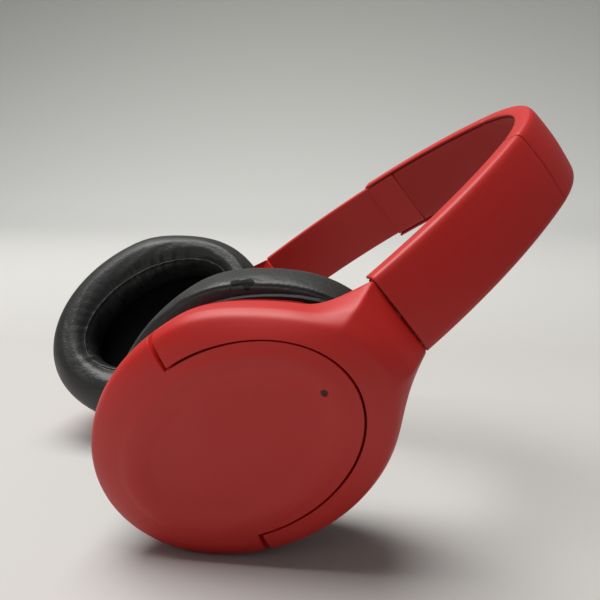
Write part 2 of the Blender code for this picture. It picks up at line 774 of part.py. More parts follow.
def wall_box(name, angle, size, depth_in, proud, bevel, finish_material, frame, pivot):
    """A box that is let into the side wall: size is (across, along), depth_in and proud from the wall."""
    point, outward = wall_frame(angle)
    centre = point + outward * (proud - depth_in) / 2
    dims = (size[0], size[1], depth_in + proud)
    track = outward.to_track_quat("Z", "Y")
    across = track @ Vector((1.0, 0.0, 0.0))
    if abs(across.x) < 0.5:
        dims = (size[1], size[0], depth_in + proud)
    return box_piece(name, dims, centre, finish_material, frame, pivot, bevel, track.to_matrix().to_4x4())


def make_controls(housing, frame, pivot, skins):
    """Two push buttons, the charging socket and the headphone socket, with their pockets."""
    no_pivot = Vector((0.0, 0.0, 0.0))
    clear = 2 * FIT_GAP
    for name, angle in (("power_button", POWER_BUTTON_ANGLE), ("mode_button", MODE_BUTTON_ANGLE)):
        size = (BUTTON_WIDTH, BUTTON_LENGTH)
        pocket = (BUTTON_WIDTH + clear, BUTTON_LENGTH + clear)
        deep = BUTTON_DEPTH + BUTTON_TRAVEL + FIT_GAP
        cut(housing, wall_box(name + "_pocket", angle, pocket, deep, 2.5, 0.6, None, frame, no_pivot))
        button = wall_box(name, angle, size, BUTTON_DEPTH, BUTTON_PROUD, 0.6, skins["button"], frame, pivot)
        parts.objects.link(button)
    angle = CHARGE_SOCKET_ANGLE
    size = CHARGE_SOCKET_SIZE
    pocket = (size[0] + clear, size[1] + clear)
    deep = SOCKET_DEPTH + FIT_GAP
    cut(housing, wall_box("charge_pocket", angle, pocket, deep, 2.0, 0.8, None, frame, no_pivot))
    steel = skins["steel"]
    socket = wall_box("charging_socket", angle, size, SOCKET_DEPTH, -SOCKET_SUNK, 0.8, steel, frame, pivot)
    parts.objects.link(socket)
    mouth = (size[0] - 2 * SOCKET_WALL, size[1] - 2 * SOCKET_WALL)
    deep = SOCKET_DEPTH - SOCKET_FLOOR
    cut(socket, wall_box("charge_mouth", angle, mouth, deep, 2.0, 0.6, None, frame, no_pivot))
    point, outward = wall_frame(JACK_SOCKET_ANGLE)
    mouth = point + outward * 2.0
    deep = point - outward * (SOCKET_DEPTH + FIT_GAP)
    cut(housing, rod("jack_pocket", JACK_SOCKET_RADIUS + FIT_GAP, deep, mouth, sides=24))
    start = point - outward * SOCKET_DEPTH
    stop = point - outward * SOCKET_SUNK
    jack = rod("headphone_socket", JACK_SOCKET_RADIUS, start, stop, skins["black"], frame, -pivot, 24)
    parts.objects.link(jack)
    start = point - outward * (SOCKET_DEPTH - SOCKET_FLOOR)
    cut(jack, rod("jack_bore", JACK_BORE_RADIUS, start, mouth, sides=24))


def make_side(side_name, headset, skins):
    """The chain of frames of one side: slider, swivel, yoke and cup. Returns the cup's frame and pivot."""
    side = SIDES[side_name]
    drawn = RIGHT_EXTENSION if side_name == "right" else 0.0
    swivel = RIGHT_SWIVEL if side_name == "right" else 0.0
    tilt = RIGHT_TILT if side_name == "right" else 0.0
    arc_centre = Vector((side * LEG_CENTRE_X, 0.0, WIDEST_HEIGHT))
    slide_frame = empty(side_name + "_slide_axis", headset, arc_centre)
    slide_frame.rotation_euler.y = side * drawn / LEG_RADIUS
    make_stem(side_name, slide_frame, skins)
    seam, up = seam_frame()
    seam, up = mirrored(seam, side), mirrored(up, side)
    swivel_frame = empty(side_name + "_swivel_axis", slide_frame, seam - arc_centre)
    swivel_frame.rotation_mode = "QUATERNION"
    swivel_frame.rotation_quaternion = Quaternion(up, side * swivel)
    cup_centre = Vector((side * CUP_CENTRE_X, 0.0, CUP_CENTRE_Z))
    yoke_frame = empty(side_name + "_yoke_frame", swivel_frame, cup_centre - seam)
    yoke_frame.rotation_euler.y = side * CUP_LEAN
    make_yoke(side_name, yoke_frame, skins)
    ends = pivots_of(side)
    pivot = (ends["front"][0] + ends["rear"][0]) / 2
    cup_frame = empty(side_name + "_tilt_axis", yoke_frame, pivot)
    cup_frame.rotation_mode = "QUATERNION"
    cup_frame.rotation_quaternion = Quaternion(ends["rear"][1], -side * tilt)
    housing = make_housing(side_name, cup_frame, pivot, skins)
    make_acoustics(side_name, cup_frame, pivot, skins)
    return housing, cup_frame, pivot


def settle(headset):
    """Moves the assembly so that the centre of its bounding box's foot is the origin."""
    bpy.context.view_layer.update()
    graph = bpy.context.evaluated_depsgraph_get()
    low = Vector((1e9, 1e9, 1e9))
    high = -low
    for obj in parts.objects:
        if obj.type != "MESH":
            continue
        solid = obj.evaluated_get(graph)
        for vertex in solid.data.vertices:
            point = solid.matrix_world @ vertex.co
            low = Vector(map(min, low, point))
            high = Vector(map(max, high, point))
    headset.location = Vector((-(low.x + high.x) / 2, -(low.y + high.y) / 2, -low.z))


clear_scene()
parts = new_collection("headphones")
cutters = new_collection("cutters", hidden=True)
skins = {
    "shell": material("moulded_red_plastic", RED, 0.45),
    "lining": material("soft_red_lining", DARK_RED, 0.7),
    "black": material("moulded_black_plastic", BLACK, 0.5),
    "leather": material("pad_leatherette", LEATHER, 0.6),
    "cloth": material("speaker_cloth_black", BLACK, 0.95),
    "cone": material("driver_film", (0.2, 0.2, 0.18), 0.35),
    "steel": material("plain_steel", STEEL, 0.35, 1.0),
    "button": material("button_red_plastic", RED, 0.4),
    "battery": material("battery_foil", (0.35, 0.36, 0.38), 0.4),
    "board": material("circuit_board", BOARD_GREEN, 0.5),
    "copper": material("touch_sheet_copper", (0.6, 0.3, 0.15), 0.4),
}
headset = empty("headset")
headset.rotation_euler = (-LEAN_BACK, SIDE_ROLL, 0.0)
make_headband(headset, skins)
frames = {}
pivots = {}
housings = {}
for side_name in SIDES:
    housings[side_name], frames[side_name], pivots[side_name] = make_side(side_name, headset, skins)
make_controls(housings["left"], frames["left"], pivots["left"], skins)
make_electronics(frames, pivots, skins)
settle(headset)
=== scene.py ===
"""Over-ear wireless headphones lying on their two ear cups, with the headband leaning back.

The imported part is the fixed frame. Each section below makes one piece or one group of alike pieces, in
assembly order: headband, sliders, yokes, cups, controls, pads. Shapes are worked out in millimetres, in
the frame of the side they belong to, and one matrix takes them to their place in metres.
"""

from math import asin, atan2, cos, exp, hypot, pi, radians, sin, sqrt, tan

import bmesh
import bpy
import json
import numpy as np
from mathutils import Euler, Matrix, Quaternion, Vector


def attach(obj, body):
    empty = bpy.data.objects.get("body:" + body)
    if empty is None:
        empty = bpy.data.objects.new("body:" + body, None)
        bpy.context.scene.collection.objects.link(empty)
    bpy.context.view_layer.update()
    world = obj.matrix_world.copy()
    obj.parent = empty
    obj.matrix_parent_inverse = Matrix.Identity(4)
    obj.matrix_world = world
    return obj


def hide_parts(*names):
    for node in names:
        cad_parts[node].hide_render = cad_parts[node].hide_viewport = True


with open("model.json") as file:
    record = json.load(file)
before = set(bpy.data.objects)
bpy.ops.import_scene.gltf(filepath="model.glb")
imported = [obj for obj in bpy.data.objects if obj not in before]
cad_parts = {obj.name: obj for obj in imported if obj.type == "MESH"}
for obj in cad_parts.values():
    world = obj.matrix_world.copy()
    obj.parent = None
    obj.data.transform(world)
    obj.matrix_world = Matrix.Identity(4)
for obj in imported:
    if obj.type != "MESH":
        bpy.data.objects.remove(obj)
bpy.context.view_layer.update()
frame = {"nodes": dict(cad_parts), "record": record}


# ---------------------------------------------------------------- how the headset lies
# The headset is worked out as worn (X ear to ear, left ear at +X, Z up) and then leans back on its cups.
# It also rolls a little, because the right slider is drawn out and the left one is in.

LEAN_BACK = radians(52.8)
SIDE_ROLL = radians(9.3)
FOOT_MM = (0.515, -6.664, 46.489)
MM = 0.001

headset = Matrix.Scale(MM, 4) @ Matrix.Translation(FOOT_MM)
headset = headset @ Euler((-LEAN_BACK, SIDE_ROLL, 0.0)).to_matrix().to_4x4()


# ---------------------------------------------------------------- moulded red plastic
# Satin injection-moulded ABS with a fine spark-eroded grain, about 0.2 mm across. The red is in the
# plastic, so it is the same on every shell piece. Handling leaves faint, broad changes in sheen.


def linear(code):
    """The linear colour of an sRGB hex code."""
    channels = [int(code[i : i + 2], 16) / 255 for i in (1, 3, 5)]
    low = [c / 12.92 if c <= 0.04045 else ((c + 0.055) / 1.055) ** 2.4 for c in channels]
    return (*low, 1.0)


def add(tree, kind, inputs=(), **settings):
    """Adds a node: settings are its own properties, inputs its sockets' values or what they link to."""
    made = tree.nodes.new(kind)
    for key, value in settings.items():
        setattr(made, key, value)
    for key, value in dict(inputs).items():
        if isinstance(value, bpy.types.NodeSocket):
            tree.links.new(value, made.inputs[key])
        else:
            made.inputs[key].default_value = value
    return made


def new_material(name, colour, roughness, metallic=0.0, **sockets):
    """A material with a Principled BSDF. Returns it with its tree and shader."""
    made = bpy.data.materials.new(name)
    made.use_nodes = True
    shader = made.node_tree.nodes["Principled BSDF"]
    shader.inputs["Base Color"].default_value = linear(colour)
    shader.inputs["Roughness"].default_value = roughness
    shader.inputs["Metallic"].default_value = metallic
    for key, value in sockets.items():
        shader.inputs[key.replace("_", " ")].default_value = value
    return made, made.node_tree, shader


def grain(tree, shader, size_mm, depth_mm, detail=2.0, strength=1.0):
    """Gives a surface a fine random grain of a real size and depth."""
    place = add(tree, "ShaderNodeTexCoord").outputs["Object"]
    noise = add(tree, "ShaderNodeTexNoise", {"Vector": place, "Scale": 1000.0 / size_mm, "Detail": detail})
    bump = add(
        tree,
        "ShaderNodeBump",
        {"Height": noise.outputs[0], "Distance": depth_mm * MM, "Strength": strength},
    )
    tree.links.new(bump.outputs[0], shader.inputs["Normal"])
    return place, noise, bump


def vary(tree, place, size_mm, low, high, target, detail=3.0):
    """Drives a socket with broad soft noise between two values."""
    noise = add(tree, "ShaderNodeTexNoise", {"Vector": place, "Scale": 1000.0 / size_mm, "Detail": detail})
    spread = add(
        tree,
        "ShaderNodeMapRange",
        {"Value": noise.outputs[0], "From Min": 0.3, "From Max": 0.7, "To Min": low, "To Max": high},
    )
    tree.links.new(spread.outputs[0], target)
    return spread


def moulded_plastic(name, colour, darker, roughness, grain_mm=0.22):
    """Satin moulded plastic: grain, sheen that changes with handling and a faint change of tone."""
    made, tree, shader = new_material(name, colour, roughness, IOR=1.5)
    place, _, _ = grain(tree, shader, grain_mm, 0.012, strength=0.35)
    vary(tree, place, 26.0, roughness - 0.04, roughness + 0.05, shader.inputs["Roughness"])
    tone = add(tree, "ShaderNodeTexNoise", {"Vector": place, "Scale": 1000.0 / 60.0, "Detail": 2.0})
    mix = add(
        tree,
        "ShaderNodeMix",
        {0: tone.outputs[0], 6: linear(colour), 7: linear(darker)},
        data_type="RGBA",
    )
    tree.links.new(mix.outputs[2], shader.inputs["Base Color"])
    return made


red_plastic = moulded_plastic("abs_red_spark_textured", "#BD1B14", "#B31812", 0.47)


# ---------------------------------------------------------------- headband covers
# Three channels of moulded red plastic, open towards the head: one down each leg and one over the crown.
# They follow two leg arcs that meet a smaller crown arc, and meet each other at two fine seams.

BAND_HALF_WIDTH = 75.0
WIDEST_HEIGHT = 9.6
LEG_RADIUS = 125.0
CROWN_HEIGHT = 117.0
BAND_WIDTH = 24.6
COVER_WALL = 0.8
COVER_CROWNING = 0.5
COVER_DEPTH = 5.9
COVER_EDGE = 1.6
SEAM_HEIGHT = 57.0
SIDE_COVER_LENGTH = 65.0
SEAM_GAP = 0.4
FIT_GAP = 0.3
EDGE_BREAK = 0.22

LEG_CENTRE_X = BAND_HALF_WIDTH - LEG_RADIUS
# The leg arc and the crown arc share a tangent where the height of the crown comes out right.
CROWN_DROP = (WIDEST_HEIGHT + LEG_RADIUS - CROWN_HEIGHT) / -LEG_CENTRE_X
JOIN_ANGLE = pi / 2 - 2 * atan2(CROWN_DROP, 1.0)
CROWN_RADIUS = LEG_RADIUS + LEG_CENTRE_X / cos(JOIN_ANGLE)
CROWN_CENTRE_Z = WIDEST_HEIGHT - LEG_CENTRE_X * tan(JOIN_ANGLE)
SEAM_ANGLE = asin((SEAM_HEIGHT - WIDEST_HEIGHT) / LEG_RADIUS)
JOIN_LENGTH = (JOIN_ANGLE - SEAM_ANGLE) * LEG_RADIUS
CROWN_LENGTH = JOIN_LENGTH + (pi / 2 - JOIN_ANGLE) * CROWN_RADIUS


def band_point(length, depth):
    """A point in the band's plane, at a length along it from the left seam and a depth under its surface."""
    if length > CROWN_LENGTH:
        x, z = band_point(2 * CROWN_LENGTH - length, depth)
        return -x, z
    if length <= JOIN_LENGTH:
        angle = SEAM_ANGLE + length / LEG_RADIUS
        radius = LEG_RADIUS - depth
        return LEG_CENTRE_X + radius * cos(angle), WIDEST_HEIGHT + radius * sin(angle)
    angle = JOIN_ANGLE + (length - JOIN_LENGTH) / CROWN_RADIUS
    radius = CROWN_RADIUS - depth
    return radius * cos(angle), CROWN_CENTRE_Z + radius * sin(angle)


def smooth_run(points, per):
    """A smooth curve through some points, with a number of steps between each two."""
    ends = [points[0]] + list(points) + [points[-1]]
    run = []
    for a, b, c, d in zip(ends, ends[1:], ends[2:], ends[3:]):
        a, b, c, d = (np.array(p, float) for p in (a, b, c, d))
        for step in range(per):
            t = step / per
            bend = 2 * b + (c - a) * t + (2 * a - 5 * b + 4 * c - d) * t**2 + (3 * b - a - 3 * c + d) * t**3
            run.append(tuple(bend / 2))
    return run + [tuple(points[-1])]


def straight_run(points, per):
    """The same number of steps as smooth_run, but straight from point to point."""
    run = []
    for a, b in zip(points, points[1:]):
        for step in range(per):
            t = step / per
            run.append(tuple(p + (q - p) * t for p, q in zip(a, b)))
    return run + [tuple(points[-1])]


def loft(name, rings, place, closed_turn=False, closed_ring=True):
    """Joins rings of equal length into a skin. An open run of closed rings gets end caps."""
    bm = bmesh.new()
    chart = bm.loops.layers.uv.new("turn_and_section")
    grid = [[bm.verts.new(place @ Vector(point)) for point in ring] for ring in rings]
    turns = len(grid) if closed_turn else len(grid) - 1
    size = len(grid[0])
    across = size if closed_ring else size - 1
    for turn in range(turns):
        low, high = grid[turn], grid[(turn + 1) % len(grid)]
        for index in range(across):
            after = (index + 1) % size
            face = bm.faces.new((low[index], low[after], high[after], high[index]))
            corners = ((turn, index), (turn, index + 1), (turn + 1, index + 1), (turn + 1, index))
            for loop, (u, v) in zip(face.loops, corners):
                loop[chart].uv = (u / turns, v / across)
    if closed_ring and not closed_turn:
        bm.faces.new(grid[0])
        bm.faces.new(grid[-1])
    return mesh_object(name, bm)


def mesh_object(name, bm, sharp=32.0):
    """Turns a bmesh into an object, smooth but for its sharp edges."""
    bmesh.ops.recalc_face_normals(bm, faces=bm.faces)
    mesh = bpy.data.meshes.new(name)
    bm.to_mesh(mesh)
    bm.free()
    mesh.shade_smooth()
    mesh.set_sharp_from_angle(angle=radians(sharp))
    obj = bpy.data.objects.new(name, mesh)
    bpy.context.scene.collection.objects.link(obj)
    return obj


def baked(obj):
    """Replaces an object's modifiers by the mesh that they make."""
    bpy.context.view_layer.update()
    graph = bpy.context.evaluated_depsgraph_get()
    mesh = bpy.data.meshes.new_from_object(obj.evaluated_get(graph))
    obj.modifiers.clear()
    obj.data = mesh
    return obj


def break_edges(obj, width_mm=EDGE_BREAK, segments=2):
    """Rounds the sharp edges of a moulding by a small real radius."""
    bevel = obj.modifiers.new("edge_break", "BEVEL")
    bevel.width = width_mm * MM
    bevel.segments = segments
    bevel.limit_method = "ANGLE"
    bevel.angle_limit = radians(38)
    bevel.use_clamp_overlap = True
    baked(obj)
    obj.data.shade_smooth()
    obj.data.set_sharp_from_angle(angle=radians(50))
    return obj


def dress(obj, material, body, stands_for=()):
    """Gives a finished piece its material, its CAD body and the CAD nodes that it stands for."""
    obj.data.materials.clear()
    obj.data.materials.append(material)
    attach(obj, body)
    if stands_for:
        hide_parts(*stands_for)
    return obj


def band_sweep(name, section, start, end, place=headset, step=1.0):
    """Sweeps a closed section of (width, depth) points along the band between two lengths."""
    count = max(2, round(abs(end - start) / step))
    rings = []
    for index in range(count + 1):
        length = start + (end - start) * index / count
        ring = []
        for width, depth in section:
            x, z = band_point(length, depth)
            ring.append((x, width, z))
        rings.append(ring)
    return loft(name, rings, place)


def cover_section():
    """A shallow crowned channel, open on the side towards the head."""
    half = BAND_WIDTH / 2
    inner = half - COVER_WALL
    shoulder = [(half, COVER_EDGE), (half - 0.7, COVER_EDGE * 0.4), (half - 3.3, 0.0), (0.0, -COVER_CROWNING)]
    other = [(-width, depth) for width, depth in reversed(shoulder[:-1])]
    outer = [(half, COVER_DEPTH)] + smooth_run(shoulder + other, 5) + [(-half, COVER_DEPTH)]
    inside = [
        (-inner, COVER_DEPTH),
        (-inner, COVER_WALL + 1.0),
        (1.0 - inner, COVER_WALL),
        (inner - 1.0, COVER_WALL),
        (inner, COVER_WALL + 1.0),
        (inner, COVER_DEPTH),
    ]
    return outer + inside


band_length = 2 * CROWN_LENGTH
cover_spans = {
    "left_band_cover": (0.0, SIDE_COVER_LENGTH - SEAM_GAP / 2),
    "crown_cover": (SIDE_COVER_LENGTH + SEAM_GAP / 2, band_length - SIDE_COVER_LENGTH - SEAM_GAP / 2),
    "right_band_cover": (band_length - SIDE_COVER_LENGTH + SEAM_GAP / 2, band_length),
}
for name, (start, end) in cover_spans.items():
    cover = break_edges(band_sweep(name + "_shell", cover_section(), start, end))
    dress(cover, red_plastic, "headband", [name])


# ---------------------------------------------------------------- headband lining and end plates
# The lining is a soft-touch skin over thin foam, a little fuller in the middle, glued between the cover's
# edges. A short hard end plate of the shell's plastic closes the channel at each end.

END_PLATE_LENGTH = 14.0
LINING_THICKNESS = 1.0
LINING_FULLNESS = 0.7
LINING_EDGE = 0.35
INSIDE_WIDTH = BAND_WIDTH - 2 * COVER_WALL - 2 * FIT_GAP
LINING_TOP = COVER_DEPTH - LINING_THICKNESS

soft_lining, tree, shader = new_material("soft_touch_red_skin", "#A81A13", 0.55, IOR=1.5)
place, _, bump = grain(tree, shader, 0.5, 0.03, strength=0.5)
vary(tree, place, 18.0, 0.56, 0.7, shader.inputs["Roughness"])


def inside_section(fullness):
    """A flat bar with broken edges, its head side fuller in the middle by some millimetres."""
    half = INSIDE_WIDTH / 2
    count = 14
    head_side = []
    for index in range(count + 1):
        across = 1 - 2 * index / count
        swell = fullness * (1 - across**4)
        head_side.append((across * (half - LINING_EDGE), COVER_DEPTH + swell))
    side = COVER_DEPTH - LINING_EDGE
    return [(-half, side), (-half, LINING_TOP), (half, LINING_TOP), (half, side)] + head_side


start, end = END_PLATE_LENGTH + SEAM_GAP, band_length - END_PLATE_LENGTH - SEAM_GAP
lining = break_edges(band_sweep("lining_skin", inside_section(LINING_FULLNESS), start, end), 0.3)
dress(lining, soft_lining, "headband", ["headband_lining"])
plate_spans = {
    "left_band_end_plate": (0.0, END_PLATE_LENGTH),
    "right_band_end_plate": (band_length - END_PLATE_LENGTH, band_length),
}
for name, (start, end) in plate_spans.items():
    plate = break_edges(band_sweep(name + "_fine", inside_section(0.0), start, end))
    dress(plate, red_plastic, "headband", [name])


# ---------------------------------------------------------------- sliders
# A curved stem of red plastic slides in each leg. The left one is in, and the right one is drawn out.

STEM_LENGTH = 62.0
STEM_THICKNESS = 3.3
STEM_TOP = COVER_WALL + FIT_GAP
STEM_EDGE = 0.6
STEM_CROWNING = 0.35
RIGHT_EXTENSION = 56.0
SIDES = {"left": 1, "right": -1}


def stem_section():
    """The stem's bar with four rounded edges, flat outside and slightly crowned towards the head."""
    half = INSIDE_WIDTH / 2 - 0.1
    bottom = STEM_TOP + STEM_THICKNESS
    corners = [(1, bottom, pi / 2), (1, STEM_TOP, 0.0), (-1, STEM_TOP, -pi / 2), (-1, bottom, pi)]
    section = []
    for side, depth, start in corners:
        inward = -1 if depth == bottom else 1
        centre = (side * (half - STEM_EDGE), depth + inward * STEM_EDGE)
        for step in range(5):
            angle = start - step * pi / 8
            section.append((centre[0] + STEM_EDGE * cos(angle), centre[1] + STEM_EDGE * sin(angle)))
    for index in range(1, 10):
        across = index / 5 - 1
        section.append((across * (half - STEM_EDGE), bottom + STEM_CROWNING * (1 - across**2)))
    return section


def slide_place(side):
    """The matrix of a side's slider, which turns about the centre of its leg arc."""
    centre = Vector((side * LEG_CENTRE_X, 0.0, WIDEST_HEIGHT))
    drawn = RIGHT_EXTENSION if side < 0 else 0.0
    turn = Matrix.Rotation(side * drawn / LEG_RADIUS, 4, "Y")
    return headset @ Matrix.Translation(centre) @ turn @ Matrix.Translation(-centre)


for side_name, side in SIDES.items():
    flip = Matrix.Diagonal((side, 1, 1, 1))
    name = side_name + "_slider_stem"
    stem = band_sweep(name + "_fine", stem_section(), 0.0, STEM_LENGTH, slide_place(side) @ flip)
    dress(break_edges(stem), red_plastic, side_name + "_slider", [name])


# ---------------------------------------------------------------- yokes
# Each yoke is one moulding of red plastic. Its arm wraps the cup's rim from the rear tip over the top to
# the front tip, and rises into a neck that swivels on a steel pin in the slider's end.

CUP_HALF_HEIGHT = 45.5
CUP_HALF_WIDTH = 35.0
CUP_CENTRE_X = 73.3
CUP_TOP_Z = 50.2
CUP_CENTRE_Z = CUP_TOP_Z - CUP_HALF_HEIGHT
CUP_LEAN = radians(7.0)
SHOULDER_FLAT = 3.0
SHOULDER_FADE = 9.0
SHOULDER_ANGLE = radians(125.0)
SHOULDER_SPREAD = radians(45.0)
RIGHT_SWIVEL = radians(34.0)
RIGHT_TILT = radians(12.0)
FACE_HEIGHT = 4.5
SLIT_INSET = 8.5
SLIT_WIDTH = 0.6
YOKE_FRONT_TIP = radians(180.0)
YOKE_REAR_TIP = radians(-24.0)
YOKE_THICKNESS = 2.6
YOKE_DEPTH = 7.8
TIP_GAP = radians(2.3)
NECK_SPREAD = radians(38.0)
NECK_FRONT_SPREAD = radians(29.0)
NECK_OVERHANG = 5.8
PIVOT_FROM_TIP = radians(4.0)
PIVOT_DEPTH = 1.0
YOKE_STEP = radians(0.75)


def oval_of(angle, wide, high):
    """Radius of an oval at an angle from the rear (+Y) up."""
    return 1.0 / sqrt((cos(angle) / wide) ** 2 + (sin(angle) / high) ** 2)


def shoulder(angle):
    """How far the outline is flattened over the cup's front shoulder."""
    turned = (angle - SHOULDER_ANGLE + pi) % (2 * pi) - pi
    if abs(turned) > SHOULDER_SPREAD:
        return 0.0
    return SHOULDER_FLAT * cos(turned / SHOULDER_SPREAD * pi / 2) ** 2


def oval(angle, inset):
    """Radius of the cup's outline, drawn in by an inset. The flat shoulder fades out inwards."""
    whole = oval_of(angle, CUP_HALF_WIDTH - inset, CUP_HALF_HEIGHT - inset)
    return whole - shoulder(angle) * max(0.0, 1.0 - inset / SHOULDER_FADE)


def neck_top():
    """The seam's outer corner in the cup's frame, as (outward, up)."""
    x, z = band_point(0.0, 0.2)
    offset_x, offset_z = x - CUP_CENTRE_X, z - CUP_CENTRE_Z
    outward = offset_x * cos(CUP_LEAN) - offset_z * sin(CUP_LEAN)
    up = offset_x * sin(CUP_LEAN) + offset_z * cos(CUP_LEAN)
    return outward, up


def neck_lift(angle):
    """How far the yoke's outline rises over the oval at an angle, and that as a share of the full rise."""
    outward, top = neck_top()
    top -= SEAM_GAP
    half = BAND_WIDTH / 2 - 0.5
    corner = atan2(top, half)
    from_top = abs(pi / 2 - angle)
    limit = pi / 2 - corner
    if from_top <= limit:
        return top / cos(from_top) - oval(angle, 0.0), 1.0
    front = angle > pi / 2
    spread = NECK_FRONT_SPREAD if front else NECK_SPREAD
    full = hypot(top, half) - oval(pi / 2 + limit if front else corner, 0.0)
    share = max(0.0, 1.0 - (from_top - limit) / (spread - limit))
    return full * share**3, share**2


def yoke_section(angle):
    """The yoke's closed section at an angle, as (outward, radius) points with the outer surface first."""
    lift, share = neck_lift(angle)
    reach = neck_top()[0] + YOKE_DEPTH
    lean = CUP_LEAN + SEAM_ANGLE
    drop_out = NECK_OVERHANG * cos(lean) - YOKE_THICKNESS
    drop_up = NECK_OVERHANG * sin(lean)
    slit = SLIT_INSET - SLIT_WIDTH / 2
    thick = YOKE_THICKNESS
    outer = [
        (FACE_HEIGHT, oval(angle, slit)),
        (3.7, oval(angle, 6.0)),
        (2.5, oval(angle, 3.4)),
        (1.0, oval(angle, 1.2) + 0.1 * lift),
        (-1.0 - 0.6 * share, oval(angle, 0.2) + 0.3 * lift),
        (-3.0 - 2.4 * share, oval(angle, 0.0) + 0.6 * lift),
        (-YOKE_DEPTH + reach * share, oval(angle, 0.7 * (1 - share)) + lift),
    ]
    back = -YOKE_DEPTH + (reach - drop_out) * share
    middle = -YOKE_DEPTH + (reach - drop_out) * 0.5 * share + 0.8
    inner = [
        (back, oval(angle, thick * (1 - share)) + lift - drop_up * share),
        (middle, oval(angle, thick) + 0.45 * lift),
        (-3.0, oval(angle, thick) + 0.1 * lift),
        (-0.4, oval(angle, thick + 1.0)),
        (FACE_HEIGHT - thick - 0.6, oval(angle, thick + 3.6)),
        (FACE_HEIGHT - thick, oval(angle, slit)),
    ]
    return smooth_run(outer, 5) + straight_run(inner, 3)


def cup_point(side, angle, outward, radius):
    """A point of the cup's frame from its angle, its depth and its distance from the cup's axis."""
    return (side * outward, radius * cos(angle), radius * sin(angle))


def seam_of(side):
    """A side's seam centre, and the direction up the leg there."""
    x, z = band_point(0.0, STEM_TOP + STEM_THICKNESS / 2)
    return Vector((side * x, 0.0, z)), Vector((-side * sin(SEAM_ANGLE), 0.0, cos(SEAM_ANGLE)))


def yoke_place(side):
    """The matrix of a side's yoke: the slider's, then the swivel about the neck, then the cup's lean."""
    seam, up = seam_of(side)
    swivel = RIGHT_SWIVEL if side < 0 else 0.0
    turn = Quaternion(up, side * swivel).to_matrix().to_4x4()
    centre = Vector((side * CUP_CENTRE_X, 0.0, CUP_CENTRE_Z))
    lean = Matrix.Rotation(side * CUP_LEAN, 4, "Y")
    return slide_place(side) @ Matrix.Translation(seam) @ turn @ Matrix.Translation(centre - seam) @ lean


def cup_place(side):
    """The matrix of a side's cup, which tilts about the line through both tips of its yoke."""
    points = []
    for angle in (YOKE_REAR_TIP + PIVOT_FROM_TIP, YOKE_FRONT_TIP - PIVOT_FROM_TIP):
        points.append(Vector(cup_point(side, angle, -PIVOT_DEPTH, oval(angle, 0.0))))
    rearward = (points[0] - points[1]).normalized()
    pivot = (points[0] + points[1]) / 2
    tilt = RIGHT_TILT if side < 0 else 0.0
    turn = Quaternion(rearward, -side * tilt).to_matrix().to_4x4()
    return yoke_place(side) @ Matrix.Translation(pivot) @ turn @ Matrix.Translation(-pivot)


for side_name, side in SIDES.items():
    count = round((YOKE_FRONT_TIP - YOKE_REAR_TIP) / YOKE_STEP)
    rings = []
    for index in range(count + 1):
        angle = YOKE_REAR_TIP + (YOKE_FRONT_TIP - YOKE_REAR_TIP) * index / count
        rings.append([cup_point(side, angle, *point) for point in yoke_section(angle)])
    name = side_name + "_yoke"
    yoke = break_edges(loft(name + "_fine", rings, yoke_place(side)))
    dress(yoke, red_plastic, name, [name])


# ---------------------------------------------------------------- cup housings
# Each housing is a deep oval shell of the same red plastic with a shallow dish in its face. Its rim is
# drawn in where the yoke covers it. A slit of 0.6 mm runs between the face and the yoke, and a small
# chamfered hole near the top is the microphone's.

DISH_HEIGHT = 5.7
DISH_INSET = 15.0
HOUSING_DEPTH = 13.0
HOUSING_WALL = 2.0
CAVITY_INSET = 11.0
BACK_LIP_INSET = 5.0
MIC_HEIGHT = 29.5
MIC_RADIUS = 0.6
HOUSING_STEPS = 240


def in_yoke(angle):
    """Whether an angle lies where the yoke covers the housing."""
    angle = (angle - YOKE_REAR_TIP + TIP_GAP) % (2 * pi)
    return angle < YOKE_FRONT_TIP - YOKE_REAR_TIP + 2 * TIP_GAP


